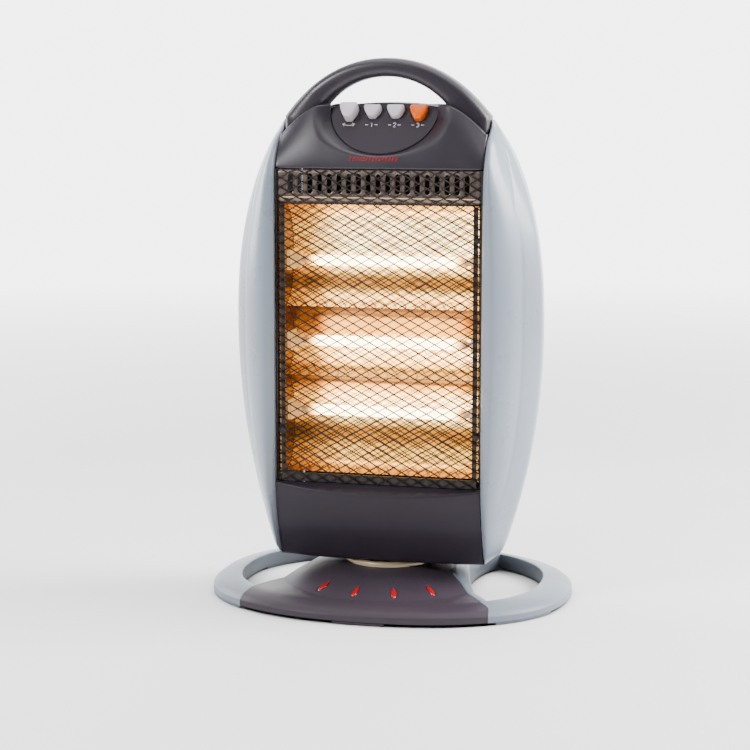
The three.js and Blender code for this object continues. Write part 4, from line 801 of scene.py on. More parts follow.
def carry_handle():
    """Rounded sections up one foot, over the arch and down the other foot."""
    centre_z = GRIP_TOP_Z - GRIP_RADIUS
    foot_top = COVER_TOP_Z - 4
    stations = [((PANEL_HALF_WIDTH, z), (CREST_FLAT_X, z), 0) for z in spread(FOOT_BOTTOM_Z, foot_top, 14)]
    for t in spread(0, 1, 8)[1:-1]:
        z = lerp(foot_top, SHOULDER_Z, t)
        outer = min(half_width(z), PANEL_HALF_WIDTH)
        stations.append(((outer, z), (CREST_FLAT_X, foot_top + 4 * t), 0.1 * t))
    corner = math.acos(CREST_FLAT_X / GRIP_RADIUS)
    for angle in spread(corner * 0.62, corner, 10)[:-1] + spread(corner, math.pi / 2, 44):
        reach = outline_on_ray(angle, centre_z)
        inner = min(GRIP_RADIUS, CREST_FLAT_X / max(math.cos(angle), 1e-6))
        point = [(r * math.cos(angle), centre_z + r * math.sin(angle)) for r in (reach, inner)]
        stations.append((point[0], point[1], angle / (math.pi / 2)))
    stations += [((-o[0], o[1]), (-i[0], i[1]), rise) for o, i, rise in reversed(stations[:-1])]
    loops = []
    for outer, inner, rise in stations:
        depth = lerp(FOOT_REAR_Y - HANDLE_FRONT_Y, HANDLE_TOP_DEPTH, rise)
        power = lerp(FOOT_POWER, ARCH_POWER, rise)
        loop = []
        for a in full_turn(40):
            bent = power if math.sin(a) < 0 else lerp(power, HANDLE_REAR_POWER, 0.8)
            across, back = ((1 + signed_power(v, 2 / bent)) / 2 for v in (math.cos(a), math.sin(a)))
            x, z = (lerp(near, far, across) for near, far in zip(inner, outer))
            loop.append((x, HANDLE_FRONT_Y + depth * back, z))
        loops.append(loop)
    add("carry_handle_grip", loft(loops), PLUM, "head", "plum_plastic", ["carry_handle"])


# ---------------------------------------------------------------- console and buttons


def on_console(x, deep, up):
    """Point given across, into the face and up its slope."""
    cos, sin = math.cos(CONSOLE_SLOPE), math.sin(CONSOLE_SLOPE)
    return x, CONSOLE_LOW_Y + deep * cos + up * sin, CONSOLE_LOW_Z - deep * sin + up * cos


def shield(x, height, margin):
    """Rounded outline of a button: a broad top that narrows to a blunt tip."""
    half = BUTTON_WIDTH / 2
    right = [(0.3, 0), (0.62, 0.2), (0.88, 0.52), (1, 0.8), (0.92, 0.96), (0.75, 1)]
    loop = [(a * half, b * height) for a, b in right] + [(-a * half, b * height) for a, b in reversed(right)]
    grown_across, grown_up = 1 + margin / half, 1 + 2 * margin / height
    middle_v = BUTTON_TOP_V - height / 2
    line = smooth_line(loop, 6, closed=True)
    return [(x + a * grown_across, middle_v + (b - height / 2) * grown_up) for a, b in line]


def button_xs():
    return [(i - 1.5) * BUTTON_PITCH for i in range(4)]


def crown_z(x):
    t = x / (CREST_FLAT_X - GAP)
    return CONSOLE_TOP_Z - CONSOLE_CROWN * t * t


def control_console():
    """The sloping face, rounded over into the deck that runs back between the handle's feet."""
    half, drop, edge = CONSOLE_HALF_WIDTH - GAP, CONSOLE_DROP - GAP, 3.4

    def column(x):
        low = SCOOP_CENTRE_Z - drop * math.sqrt(max(0, 1 - (x / half) ** 2))
        high = crown_z(x)
        knee = Vector((x, console_y(high), high))
        start = Vector((x, console_y(high - edge), high - edge))
        end = knee + Vector((0, edge, 0))
        face = [(x, console_y(z), z) for z in spread(min(low, high - edge - 0.1), high - edge, 26)[:-1]]
        deck = [(x, y, high) for y in spread(end.y, CONSOLE_REAR_Y, 10)[1:]]
        return face + [tuple(p) for p in rounded(start, knee, end, 9)] + deck

    def wing(side):
        depths = spread(HANDLE_FRONT_Y + 0.4, CONSOLE_REAR_Y, 8)
        widths = spread(half - 0.1, CREST_FLAT_X - GAP, 4)
        return grid([[(side * x, y, crown_z(x)) for y in depths] for x in widths])

    columns = [column(half * math.sin(a)) for a in spread(-math.pi / 2, math.pi / 2, 81)]
    dress = (DARK, "head", "console_plastic")
    shape = together(grid(columns), wing(-1), wing(1))
    console = add("control_console_panel", shape, *dress, ["control_console"], facing=UP_FORWARD, thick=2)
    for i, x in enumerate(button_xs()):
        outline = shield(x, BUTTON_HEIGHTS[i], BUTTON_CLEAR)
        hole = loft([[on_console(a, deep, b) for a, b in outline] for deep in (-6, 6)])
        cut(console, add(f"cutter_{i}", hole, *dress))


def cut(piece, cutter):
    """Takes one solid out of another for good."""
    modifier = piece.modifiers.new("hole", "BOOLEAN")
    modifier.object = cutter
    modifier.solver = "EXACT"
    bpy.context.view_layer.update()
    graph = bpy.context.evaluated_depsgraph_get()
    made = bpy.data.meshes.new_from_object(piece.evaluated_get(graph))
    piece.modifiers.clear()
    piece.data = made
    bpy.data.objects.remove(cutter)


def button(index):
    """A cap with a rounded edge and a slightly domed face, and the stem behind it."""
    height, x = BUTTON_HEIGHTS[index], button_xs()[index]
    out = BUTTON_OUT + (BUTTON_TRAVEL if index == 0 else 0)
    loops = []
    edge = [(BUTTON_BACK, 0)] + [(-out + deep, margin) for deep, margin in BUTTON_EDGE]
    for deep, margin in smooth_line(edge, 4):
        loops.append([on_console(a, deep, b) for a, b in shield(x, height, margin)])
    middle = BUTTON_TOP_V - height * 0.46
    dome, inset = BUTTON_EDGE[-1]
    rim = shield(x, height, inset)
    for t in (0.8, 0.6, 0.4, 0.2):
        deep = -out + dome * t * t
        loops.append([on_console(lerp(x, a, t), deep, lerp(middle, b, t)) for a, b in rim])
    stem_v, half = BUTTON_TOP_V - STEM_DROP, STEM / 2
    corners = [(x + a * half, stem_v + b * half) for a, b in ((-1, -1), (1, -1), (1, 1), (-1, 1))]
    stem = loft([[on_console(a, deep, b) for a, b in corners] for deep in (BUTTON_BACK - 0.5, STEM_END)])
    kind = f"heat_{{}}_{index}" if index else "swing_{}"
    node, body = kind.format("button"), kind.format("key")
    material, slot = (ORANGE, "orange_plastic") if index == 3 else (WHITE, "white_plastic")
    add(node + "_cap", together(loft(loops), stem), material, body, slot, [node], sharp=50)


def legend(name, lines):
    """Flat strokes printed on the console, each along a line of points."""
    shapes = []
    for points in lines:
        left, right = [], []
        for i, (a, b) in enumerate(points):
            before, after = points[max(i - 1, 0)], points[min(i + 1, len(points) - 1)]
            along = Vector((after[0] - before[0], after[1] - before[1])).normalized()
            side = Vector((-along.y, along.x)) * STROKE / 2
            left.append(on_console(a + side.x, -0.12, b + side.y))
            right.append(on_console(a - side.x, -0.12, b - side.y))
        shapes.append(grid([left, right]))
    add(name, together(*shapes), INK, "head", "white_plastic", facing=UP_FORWARD, thick=0.1)


LEGEND_V, STROKE = 34, 0.8
THREE_TOP = [(-1.4, 2.1), (-0.2, 2.6), (1.2, 2.1), (1.2, 0.8), (0, 0.1)]
DIGITS = {
    1: [(-0.9, 1.6), (0.3, 2.6), (0.3, -2.6)],
    2: [(-1.5, 1.5), (-1.1, 2.3), (0, 2.6), (1.2, 2.2), (1.4, 1.2), (0.6, 0), (-1.5, -2.5), (1.7, -2.5)],
    3: THREE_TOP + [(1.4, -0.6), (1.4, -1.9), (0, -2.6), (-1.5, -2.1)],
}


def legends():
    """A double arrow for the swing, and the plain numbers 1 to 3, each with a short rule beside it."""
    xs = button_xs()
    x, v = xs[0], LEGEND_V + 0.5
    arc = [(x + t * 6, v - 1.4 * (1 - t * t)) for t in spread(-1, 1, 13)]
    heads = [[(x + s * 3.6, v + 1.4), (x + s * 6.3, v + 0.1), (x + s * 4.4, v - 2.2)] for s in (-1, 1)]
    legend("swing_legend", [arc, *heads])
    for digit, stroke in DIGITS.items():
        x = xs[digit]
        number = [(x + a * 0.9, LEGEND_V + b * 0.9) for a, b in stroke]
        rules = [[(x + side * 3.4, LEGEND_V), (x + side * 6.6, LEGEND_V)] for side in (-1, 1)]
        legend(f"heat_legend_{digit}", [number, *rules])


# ---------------------------------------------------------------- guard, vent plate, heating elements


def mesh_guard():
    """Two sets of slanted strands, each a flat bar cut to the guard's field."""
    half, low, high = SEAM_X - 0.5, GRILLE_BOTTOM_Z + 0.4, GRILLE_TOP_Z - 0.4
    steep = DIAMOND_HEIGHT / DIAMOND_WIDTH
    shapes = []
    for direction, width, depth in STRANDS:
        count = int((high - low + 2 * half * steep) / DIAMOND_HEIGHT) + 2
        for i in range(count):
            at_left = low - (2 * half * steep if direction > 0 else 0) + i * DIAMOND_HEIGHT + FIRST_STRAND
            slope = direction * steep
            ends = [-half + (z - at_left) / slope for z in (low, high)]
            x0, x1 = max(-half, min(ends)), min(half, max(ends))
            if x1 - x0 < 2:
                continue
            z0, z1 = at_left + slope * (x0 + half), at_left + slope * (x1 + half)
            up = width / 2 / math.cos(math.atan(steep))
            front, back = GUARD_Y - depth / 2, GUARD_Y + depth / 2
            section = ((front, -up), (front, up), (back, up * 0.7), (back, -up * 0.7))
            shapes.append(loft([[(x, y, z + rise) for y, rise in section] for x, z in ((x0, z0), (x1, z1))]))
    for side in (-1, 1):
        rim, edge = side * half, side * (half - 2)
        hem = [(edge, GUARD_Y - 0.6), (rim, GUARD_Y - 0.6), (rim, GUARD_Y + 0.6), (edge, GUARD_Y + 0.6)]
        shapes.append(loft([[(x, y, z) for x, y in hem] for z in spread(low, high, 3)]))
    add("mesh_guard_strands", together(*shapes), WIRE, "head", "dark_sheet", ["mesh_guard"])


VENT_SLOTS, VENT_PITCH, VENT_SLOT_WIDTH = 19, 10.15, 4.8
VENT_SLOT_Z = (424, 444)
VENT_BOTTOM_Z = 413
VENT_Y = -50.5
VENT_FOLD_Z, VENT_FOLD_DEPTH = 420.5, 0.9


def vent_plate():
    """A sheet with upright round-ended slots, folded back along its foot."""
    half_slot = VENT_SLOT_WIDTH / 2
    top = GRILLE_TOP_Z - GAP

    def strip(x0, x1, slot):
        """The stretch of sheet on one side of a slot's middle line, from the foot up."""
        low, high = VENT_SLOT_Z
        arc = [half_slot * math.sin(a) for a in spread(0, math.pi / 2, 7)]
        lift = [half_slot * (1 - math.cos(a)) for a in spread(0, math.pi / 2, 7)]
        foot = [(0, z) for z in (VENT_BOTTOM_Z, VENT_FOLD_Z - 0.8, VENT_FOLD_Z, VENT_FOLD_Z + 0.8)]
        lower = [(a, low + b) for a, b in zip(arc, lift)]
        upper = [(a, high - b) for a, b in zip(reversed(arc), reversed(lift))]
        edge = foot + lower + upper + [(0, top)]
        side = 1 if x1 > x0 else -1
        rows = []
        for a, z in edge:
            y = VENT_Y + VENT_FOLD_DEPTH * clamp((VENT_FOLD_Z - z) / (VENT_FOLD_Z - VENT_BOTTOM_Z))
            near = x0 + side * (a if slot else 0)
            rows.append([(lerp(near, x1, t), y, z) for t in (0, 0.5, 1)])
        return grid(rows)

    shapes = []
    first = -(VENT_SLOTS - 1) / 2 * VENT_PITCH
    for i in range(VENT_SLOTS):
        x = first + i * VENT_PITCH
        shapes += [strip(x, x + side * VENT_PITCH / 2, True) for side in (-1, 1)]
    end = -first + VENT_PITCH / 2
    shapes += [strip(side * end, side * (SEAM_X - 0.5), False) for side in (-1, 1)]
    dress = (VENT, "head", "vent_sheet", ["vent_plate"])
    add("vent_plate_sheet", together(*shapes), *dress, facing=FORWARD, thick=SHEET)
    # A thin strip along the fold gives off orange light: a painted highlight.
    across = spread(-REFLECTOR_HALF, REFLECTOR_HALF, 41)
    line = grid([[(x, VENT_Y - 0.12, z) for x in across] for z in (VENT_FOLD_Z - 0.9, VENT_FOLD_Z)])
    fold_highlight = add("vent_fold_painted_highlight", line, CERAMIC_PAINTED_GLOW, "head", "vent_sheet", facing=FORWARD, thick=0.1)
    set_glow(fold_highlight, lambda x, y, z: CERAMIC_GLOW)


def set_attribute(piece, name, value_of):
    """Stores a number from 0 to 1 at each point of a piece, from its place in millimetres."""
    values = [
        clamp(value_of(v.co.x / MM, v.co.y / MM + BASE_CENTRE_Y, v.co.z / MM)) for v in piece.data.vertices
    ]
    piece.data.attributes.new(name, "FLOAT", "POINT").data.foreach_set("value", values)


def set_glow(piece, glow_of):
    set_attribute(piece, "glow", glow_of)


# Painted light on each trough by level: strongest behind its tube, weak under it and beneath the trough
# above.
TROUGH_GLOWS = [
    [
        *((309, 0.72), (318, 0.78), (325, 0.4), (333, 0.36), (341, 0.8)),
        *((352, 1), (385, 0.95), (404, 0.8), (413, 0.4)),
    ],
    [
        *((235, 0.4), (240, 0.5), (248, 0.85), (258, 1), (270, 0.95)),
        *((277, 0.5), (286, 0.36), (295, 0.14), (307, 0.1)),
    ],
    [
        *((134, 0.3), (141, 0.55), (155, 0.58), (164, 0.36), (173, 0.34)),
        *((182, 0.7), (192, 1), (212, 0.95), (222, 0.5), (228, 0.2), (234, 0.12)),
    ],
]


def trough_glow(levels):
    """Painted light on a trough by level, less towards its left end and a little less at its right one."""
    along = through(levels)

    def glow(x, y, z):
        return along(z) * lerp(0.46, 1, smoothstep(-100, -42, x)) * lerp(0.75, 1, smoothstep(103, 84, x))

    return glow


def reflectors():
    """Curved sheets closed round their own thickness, bright with painted light on the front and dark on the
    back.
    """
    for i, levels in enumerate(TROUGH_GLOWS):
        top, bottom = REFLECTOR_EDGES_Z[i] - GAP / 2, REFLECTOR_EDGES_Z[i + 1] + GAP / 2
        half = (top - bottom) / 2
        middle = (top + bottom) / 2

        def sheet_y(z):
            rest = max(0, 1 - ((z - middle) / half) ** 2)
            return REFLECTOR_LIP_Y + REFLECTOR_DEPTH * math.sqrt(rest) ** 0.8

        rows = []
        for back in (0, SHEET):
            turns = spread(0, math.pi, 97)
            for a in reversed(turns) if back else turns:
                z = middle + half * math.cos(a)
                y = REFLECTOR_LIP_Y + REFLECTOR_DEPTH * abs(math.sin(a)) ** 0.8 + back
                rows.append([(x, y, z) for x in spread(-REFLECTOR_HALF, REFLECTOR_HALF, 41)])
        node = f"reflector_{i + 1}"
        piece = add(node + "_trough", grid(rows + rows[:1]), MIRROR_PAINTED_GLOW, "head", "reflector_sheet", [node])
        lit = trough_glow(levels)
        set_glow(piece, lambda x, y, z: lit(x, y, z) if y < sheet_y(z) + SHEET / 2 else 0)


def halogen_tubes():
    """Glass tubes with narrowed ends, where they are dimmer."""
    profile = smooth_line([(3, 0), (3, 3.5), (4.6, 6), (TUBE_RADIUS, 9), (TUBE_RADIUS, 14)], 3)
    for i, tube_z in enumerate(TUBE_ZS):
        stations = [(-TUBE_HALF + along, r) for r, along in profile]
        stations += [(x, TUBE_RADIUS) for x in spread(-TUBE_HALF + 16, TUBE_HALF - 16, 25)]
        stations += [(TUBE_HALF - along, r) for r, along in reversed(profile)]
        circle = [(math.cos(a), math.sin(a)) for a in full_turn(32)]
        loops = [[(x, TUBE_Y + r * b, tube_z + r * c) for b, c in circle] for x, r in stations]
        node = f"halogen_tube_{i + 1}"
        tube = add(node + "_glass", loft(loops), HOT, "head", "quartz", [node])
        set_glow(tube, lambda x, y, z: smoothstep(TUBE_HALF, TUBE_HALF - 22, abs(x)))


# ---------------------------------------------------------------- base


def on_outline(angle, share):
    """Point on the base's outline, drawn in to a share of its size."""

    def bend(v, size):
        return size * share * signed_power(v, 2 / BASE_POWER)

    return bend(math.cos(angle), BASE_HALF_WIDTH), BASE_CENTRE_Y + bend(math.sin(angle), BASE_HALF_DEPTH)


def outline_share(x, y):
    """Size of the outline through a point, as a share of the whole one."""
    across = abs(x / BASE_HALF_WIDTH) ** BASE_POWER
    along = abs((y - BASE_CENTRE_Y) / BASE_HALF_DEPTH) ** BASE_POWER
    return (across + along) ** (1 / BASE_POWER)


rim_height = through(
    [
        (RING_INNER, RING_TOP_Z),
        (0.88, RING_TOP_Z - 0.4),
        (0.93, RING_TOP_Z - 2.5),
        (0.97, RING_TOP_Z - 5.2),
        (1, RIM_WALL_Z),
    ]
)
hub_profile = through(
    [
        (COLLAR_RADIUS, HUB_TOP_Z),
        (HUB_FOOT_RADIUS * 0.65, lerp(RING_TOP_Z, HUB_TOP_Z, 0.72)),
        (HUB_FOOT_RADIUS * 0.87, lerp(RING_TOP_Z, HUB_TOP_Z, 0.31)),
        (HUB_FOOT_RADIUS, RING_TOP_Z),
    ]
)
web_half_width = through(
    [(-150, 136), (-98, 130), (-40, 97), (FAN_BACK_Y, 84), (50, 80), (100, 88), (165, 120)]
)


# The fan is set round a little on the web, so its two edges differ.
fan_right = through([(-150, 128), (-96, 125), (-85, 115), (-40, 85), (-25, 74), (FAN_BACK_Y, 65)])
fan_left = through([(-150, 136), (-104, 134), (-64, 120), (-28, 100), (FAN_BACK_Y, 81)])


def fan_x(share, y):
    """Across the fan: -1 on its left edge, 1 on its right one."""
    return share * (fan_right(y) if share > 0 else fan_left(y))


def base_height(x, y):
    share = outline_share(x, y)
    return rim_height(share) if share > RING_INNER else hub_profile(math.hypot(x, y))


def rim_y(x, share, side):
    """Depth of the outline at an x, drawn in to a share of its size, in front (-1) or at the back (1)."""
    rest = max(0, 1 - abs(x / (BASE_HALF_WIDTH * share)) ** BASE_POWER)
    return BASE_CENTRE_Y + side * BASE_HALF_DEPTH * share * rest ** (1 / BASE_POWER)


def edge_angle(share, half_at):
    """Angle at which the outline at a share crosses an edge of the fan, given as on the right."""

    def on_fan(angle):
        x, y = on_outline(angle, share)
        return x < half_at(y) + GAP

    return last_where(on_fan, -math.pi / 2, -0.1)


def base_painted_shade(x, y, z):
    """Painted shade on the grey base's wall: how much of its colour is left, less in the depth of the ring's
    two openings.
    """
    inside = outline_share(x, y) < RING_INNER + 0.002 and z < hub_profile(math.hypot(x, y)) - 1.1
    return lerp(0.22, 0.5, (z - BASE_UNDERSIDE_Z) / (RING_TOP_Z - BASE_UNDERSIDE_Z)) if inside else 1


def base_ring():
    """The ring in full height, and its lower stretch that the fan lies on."""
    inner = RING_INNER
    section = [(1, BASE_UNDERSIDE_Z), (1, 6), (1, RIM_WALL_Z - 0.5)]
    section += [(share, rim_height(share)) for share in spread(0.997, inner + 0.008, 18)]
    section += [(inner + 0.003, RING_TOP_Z - 0.4)]
    section += [(inner, z) for z in (RING_TOP_Z - 1.3, 10, BASE_UNDERSIDE_Z)]
    right = [edge_angle(share, fan_right) for share, _ in section]
    left = [-math.pi - edge_angle(share, fan_left) for share, _ in section]

    def stretch(starts, ends, heights, count):
        rows = []
        for t in spread(0, 1, count):
            angles = [lerp(a, b, t) for a, b in zip(starts, ends)]
            rows.append([(*on_outline(a, share), z) for a, (share, z) in zip(angles, heights)])
        return rows

    full = stretch(right, [a + 2 * math.pi for a in left], section, 141)
    ends = [[(x, y, min(z, 12)) for x, y, z in row] for row in (full[0], full[-1])]
    drop = WALL + GAP
    sunk = [(min(share, 1 - drop / BASE_HALF_DEPTH), max(z - drop, BASE_UNDERSIDE_Z)) for share, z in section]
    shape = together(grid(ends[:1] + full + ends[1:]), grid(stretch(left, right, sunk, 61)))
    dress = (GREY_BASE, "base", "grey_plastic", ["base_ring"])
    ring = add("base_ring_moulding", shape, *dress, facing=UPWARD, thick=WALL - 0.5, bevel=0.4)
    # The ring's inner walls are darkened: painted shade.
    set_attribute(ring, "painted_shade", base_painted_shade)


def hub_web():
    """The raised bridge across the ring. Under the fan it is lower."""
    beside = [1, 0.66, 0.33, 0]  # shares of the way from the fan's edge to the web's
    columns = [(-1, share) for share in beside] + [(t, None) for t in spread(-1, 1, 55)]
    columns += [(1, share) for share in reversed(beside)]
    rim = RING_INNER + 0.02

    def across(t, share, y):
        if share is None:
            return fan_x(t, y) + t * (GAP - 0.01)
        fan = fan_right(y) if t > 0 else fan_left(y)
        return t * lerp(fan + GAP, max(web_half_width(y), fan + 2 * GAP), share)

    def place(t, share, s):
        y = 0.0
        for _ in range(12):
            x = across(t, share, y)
            y = lerp(rim_y(x, rim, -1), rim_y(x, rim, 1), s)
        return across(t, share, y), y

    rows = []
    for s in spread(0, 1, 121):
        row = []
        for t, share in columns:
            x, y = place(t, share, s)
            sunk = (WALL + GAP) * smoothstep(FAN_BACK_Y + 0.3, FAN_BACK_Y - 1.2, y) if share is None else 0
            dish = HUB_TOP_Z - 5 if math.hypot(x, y) < COLLAR_RADIUS + GAP else base_height(x, y)
            row.append((x, y, min(dish, base_height(x, y)) - sunk))
        sides = []
        for (x, y, z), out in ((row[0], -1), (row[-1], 1)):
            wall = ((0.9, BASE_UNDERSIDE_Z), (0.9, 9), (0.9, z - 1.2), (0.5, z - 0.35))
            sides.append([(x + out * far, y, level) for far, level in wall])
        rows.append(sides[0] + row + sides[1][::-1])
    dress = (GREY_BASE, "base", "grey_plastic")
    hub = add("base_hub_moulding", grid(rows), *dress, facing=UPWARD, thick=WALL - 0.5)
    # The hub's walls in the ring's openings are darkened: painted shade.
    set_attribute(hub, "painted_shade", base_painted_shade)


def inlay_frame(x, y):
    """Distance in from the row of inlays and across to the nearest one, in its own directions."""
    turn = math.degrees(math.atan2(x, -y))
    nearest = min(INLAY_ANGLES, key=lambda angle: abs(angle - turn))
    return math.hypot(x, y) - INLAY_RADIUS, math.hypot(x, y) * math.radians(turn - nearest)


def inlay_share(along, across, margin):
    """1 on the edge of a drop that is a margin larger than an inlay, less inside it."""
    long, wide = INLAY_LENGTH / 2 + margin, INLAY_WIDTH / 2 + margin
    a = clamp(along / long, -1, 1)
    return math.hypot(along / long, across / (wide * (1 + 0.25 * a)))


def cover_dip(x, y):
    """Depth of the seats of the inlays and of the faint grooves that run from them to the hub."""
    along, across = inlay_frame(x, y)
    seat = 0.9 * smoothstep(1.12, 0.9, inlay_share(along, across, 0.9))
    groove = 0.45 * bump(across, 1.0) * smoothstep(-31, -24, along) * smoothstep(-6, -9, along)
    return seat + groove


def base_cover():
    """The fan: rows up the rim at a share of the outline, then rows from the rim back to the hub."""
    across = spread(-1, 1, 201)

    def row(share=None, s=None, z=None):
        made = []
        for t in across:
            y = -60.0
            for _ in range(12):
                x = fan_x(t, y)
                y = rim_y(x, share, -1) if s is None else lerp(rim_y(x, RING_INNER, -1), FAN_BACK_Y, s)
            height = base_height(x, y) if z is None else z
            made.append((x, y, height - (0 if s is None else cover_dip(x, y))))
        return made

    rim_shares = [0.998, 0.99, 0.98, 0.97, 0.96, 0.95, 0.94, 0.93, 0.915, 0.9, 0.88, 0.86]
    rows = [row(share=1, z=z) for z in (BASE_UNDERSIDE_Z + GAP, 6, RIM_WALL_Z - 0.5)]
    rows += [row(share=share) for share in rim_shares] + [row(s=s) for s in spread(0, 1, 120)]
    points, faces = grid(rows)
    radius = COLLAR_RADIUS + GAP

    def snapped(x, y, z):
        """A point near the collar's opening drawn to its edge."""
        distance = math.hypot(x, y)
        if not radius - 1.6 < distance < radius + 0.9:
            return x, y, z
        return x * (radius + 0.01) / distance, y * (radius + 0.01) / distance, hub_profile(radius)

    points = [snapped(*point) for point in points]
    fan = points, [f for f in faces if all(math.hypot(*points[i][:2]) > radius for i in f)]
    dress = (PLUM_BASE, "base", "plum_plastic", ["base_cover"])
    add("base_cover_fan", fan, *dress, facing=UPWARD, thick=WALL - 0.6, bevel=0.4)


def inlays():
    """Drops in the fan's seats, narrower towards the hub and crowned a little."""
    for n, angle in enumerate(INLAY_ANGLES):
        turn = math.radians(angle)
        loops = []
        for grow, rise in INLAY_CROWN:
            loop = []
            for a in full_turn(40):
                along = INLAY_RADIUS - INLAY_LENGTH / 2 * grow * math.cos(a)
                pointed = signed_power(math.sin(a), 1.25)
                across = INLAY_WIDTH / 2 * grow * (1 - 0.25 * math.cos(a)) * pointed
                x = along * math.sin(turn) + across * math.cos(turn)
                y = -along * math.cos(turn) + across * math.sin(turn)
                loop.append((x, y, hub_profile(math.hypot(x, y)) - 0.4 + rise))
            loops.append(loop)
        add(f"inlay_drop_{n + 1}", loft(loops), RED, "base", "red_lens", [f"base_inlay_{n + 1}"], sharp=60)


def feet():
    """Pads under the ring's rim; the front and rear ones match the fan, and the grey ones are darkened with
    painted shade.
    """
    for n, (angle, span) in enumerate(PADS):
        edges = [math.radians(a) for a in spread(angle - span / 2, angle + span / 2, 25)]
        outline = [on_outline(a, 1) for a in edges]
        outline += [on_outline(a, RING_INNER + 0.015) for a in reversed(edges)]
        rows = [[(x, y, z) for x, y in outline] for z in (0, 1.4, BASE_UNDERSIDE_Z - GAP)]
        material, slot = (PLUM_BASE, "plum_plastic") if n % 3 == 1 else (GREY_BASE, "grey_plastic")
        node = f"foot_pad_{n + 1}"
        pad = add(node + "_footing", loft(rows), material, "base", slot, [node], bevel=0.4)
        # The grey pads are darkened as if in the shadow under the rim: painted shade.
        set_attribute(pad, "painted_shade", lambda x, y, z: PAD_PAINTED_SHADE)


def swivel_collar():
    inner, low, high = COLLAR_RADIUS - COLLAR_WIDTH, 33.3, BODY_BOTTOM_Z - GAP
    edge = 2.5
    profile = [(inner, low), (COLLAR_RADIUS, low), (COLLAR_RADIUS, 36), (COLLAR_RADIUS, high - edge)]
    for a in spread(0, math.pi / 2, 7)[1:]:
        profile.append((COLLAR_RADIUS - edge + edge * math.cos(a), high - edge + edge * math.sin(a)))
    profile += [(inner, high)]
    add("swivel_collar_ring", lathe(profile, 120), CREAM, "base", "collar_metal", ["swivel_collar"], sharp=50)


# ---------------------------------------------------------------- nodes that stay as they are

KEPT = {
    STEEL: [
        *("ballast_plate", "drive_plate", "pivot_tube", "pivot_washer", "pivot_nut"),
        *("swivel_motor", "thermal_cutout"),
        *(f"rear_screw_{i}" for i in (1, 2, 3, 4)),
    ],
    BLACK: ["tip_plunger", "cord_inlet", "body_floor", "tip_switch"],
    INNER: ["crank_disc", "terminal_block", "switch_block"],
    FRAME: ["guard_frame"],
}


def end_plate_glow(x, y, z):
    """Painted light on the inner side of an end plate, and on the front of the flange that it ends in."""
    faces_tubes = abs(x) < REFLECTOR_HALF + 0.6 or y < REFLECTOR_LIP_Y
    in_grille = REFLECTOR_EDGES_Z[-1] + 6 < z < REFLECTOR_EDGES_Z[0] - 1
    return END_PLATE_GLOW if faces_tubes and in_grille else HIDDEN_GLOW


def dress_kept_nodes():
    """Materials for the frame's own nodes that no piece here takes the place of."""
    for material, names in KEPT.items():
        for name in names:
            finish_node(name, material)
    # The end plates and tube caps give off painted light.
    for side in ("left", "right"):
        finish_node(f"{side}_end_plate", MIRROR_PAINTED_GLOW)
        set_glow(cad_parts[f"{side}_end_plate"], end_plate_glow)
        for i in (1, 2, 3):
            cap = f"{side}_tube_cap_{i}"
            finish_node(cap, CERAMIC_PAINTED_GLOW)
            set_glow(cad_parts[cap], lambda x, y, z: CERAMIC_GLOW)


def finish_node(name, material):
    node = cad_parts[name]
    node.data.materials.clear()
    node.data.materials.append(material)
    node.data.shade_smooth()
    node.data.set_sharp_from_angle(angle=math.radians(35))


# ---------------------------------------------------------------- camera, lights, floor


def area_light(name, azimuth, elevation, distance, size, power):
    """A soft box turned to the body's middle. Azimuth counts in degrees from the front to the right."""
    light = bpy.data.lights.new(name, "AREA")
    light.shape = "RECTANGLE"
    light.size, light.size_y = size
    light.energy = power
    lamp = bpy.data.objects.new(name, light)
    a, e = math.radians(azimuth), math.radians(elevation)
    away = Vector((math.sin(a) * math.cos(e), -math.cos(a) * math.cos(e), math.sin(e)))
    lamp.location = Vector((0, 0, HEIGHT * MM / 2)) + away * distance
    lamp.rotation_euler = away.to_track_quat("Z", "Y").to_euler()
    bpy.context.scene.collection.objects.link(lamp)


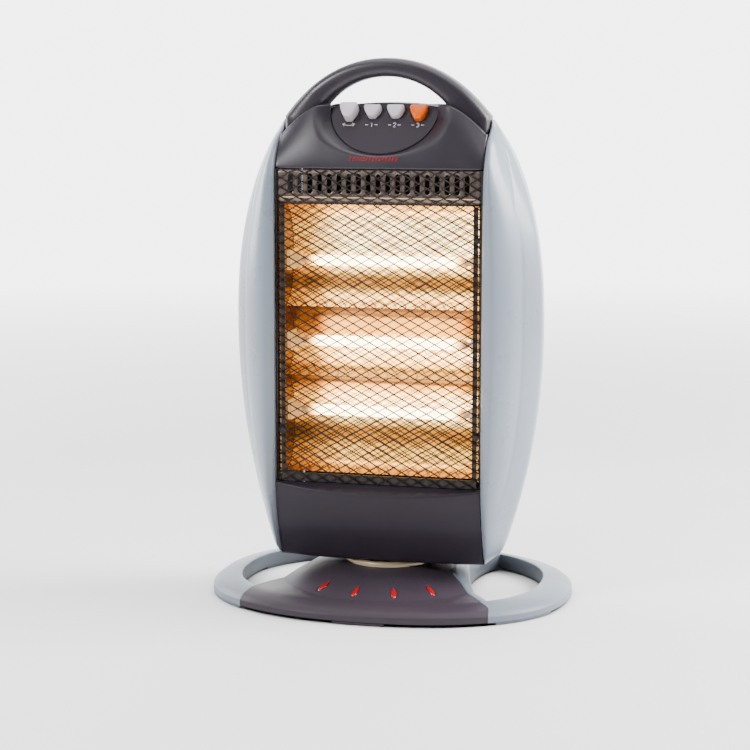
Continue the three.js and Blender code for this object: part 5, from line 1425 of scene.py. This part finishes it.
def studio():
    """Bright behind and dim in front, with a key light from the right and a floor that fades out."""
    world = bpy.data.worlds.new("studio")
    bpy.context.scene.world = world
    world.use_nodes = True
    sky = Nodes(world.node_tree)
    to_back = sky.node("SeparateXYZ", Vector=sky.node("TexCoord").outputs["Generated"]).outputs["Y"]
    surround = sky.ranged(to_back, 0.22, 2.1, -0.3, 0.6)
    backdrop = sky.ranged(to_back, 0, 3.0, 0.7, 0.9)
    background = sky.nodes["Background"]
    background.inputs["Color"].default_value = (1, 1, 1, 1)
    sky.put(background.inputs["Strength"], sky.math("ADD", surround, backdrop))
    area_light("right_softbox", 106, 28, 1.9, (1.0, 1.3), 96)
    area_light("left_softbox", -40, 30, 2.0, (0.4, 0.6), 32)
    area_light("rear_left_softbox", -108, 18, 2.0, (1.0, 1.4), 30)
    area_light("top_softbox", 10, 84, 1.8, (1.6, 1.6), 26)

    points, faces = grid([[(x, y, 0) for x in spread(-5, 5, 3)] for y in spread(-5, 5, 3)])
    mesh = bpy.data.meshes.new("floor")
    mesh.from_pydata(points, [], faces)
    floor = bpy.data.objects.new("floor", mesh)
    bpy.context.scene.collection.objects.link(floor)
    pale = Finish("pale_floor")
    # The floor's colour darkens where the object stands close to it: a painted contact shadow.
    shut = pale.node("AmbientOcclusion", Distance=0.03).outputs["AO"]
    painted_contact_shadow = pale.math("ADD", pale.ranged(shut, 0.02, 0.86, 0.1, 0.75), pale.ranged(pale.noise(3), 0, 0.02))
    pale.feed("Base Color", pale.ramp(painted_contact_shadow, (0.0, (0, 0, 0, 1)), (1.0, (1, 1, 1, 1))))
    pale.feed("Roughness", 0.8)
    away = pale.node("VectorMath", Vector=pale.place)
    away.operation = "LENGTH"
    pale.feed("Alpha", pale.ranged(away.outputs["Value"], 1, 0, 0.9, 3.2))
    mesh.materials.append(pale.material)


def camera():
    data = bpy.data.cameras.new("camera")
    data.lens = 94.9
    data.sensor_width = 36
    data.clip_start, data.clip_end = 0.05, 50
    view = bpy.data.objects.new("camera", data)
    view.location = (0.4793, -1.9989, 0.5416)
    view.rotation_euler = (math.radians(81.4), 0, math.radians(14.0))
    bpy.context.scene.collection.objects.link(view)
    bpy.context.scene.camera = view


# ---------------------------------------------------------------- all together

camera()
studio()
side_covers()
upper_front_panel()
warning_bars()
lower_front_panel()
rear_panel()
carry_handle()
control_console()
for number in range(4):
    button(number)
legends()
mesh_guard()
vent_plate()
reflectors()
halogen_tubes()
base_ring()
hub_web()
base_cover()
inlays()
feet()
swivel_collar()
dress_kept_nodes()
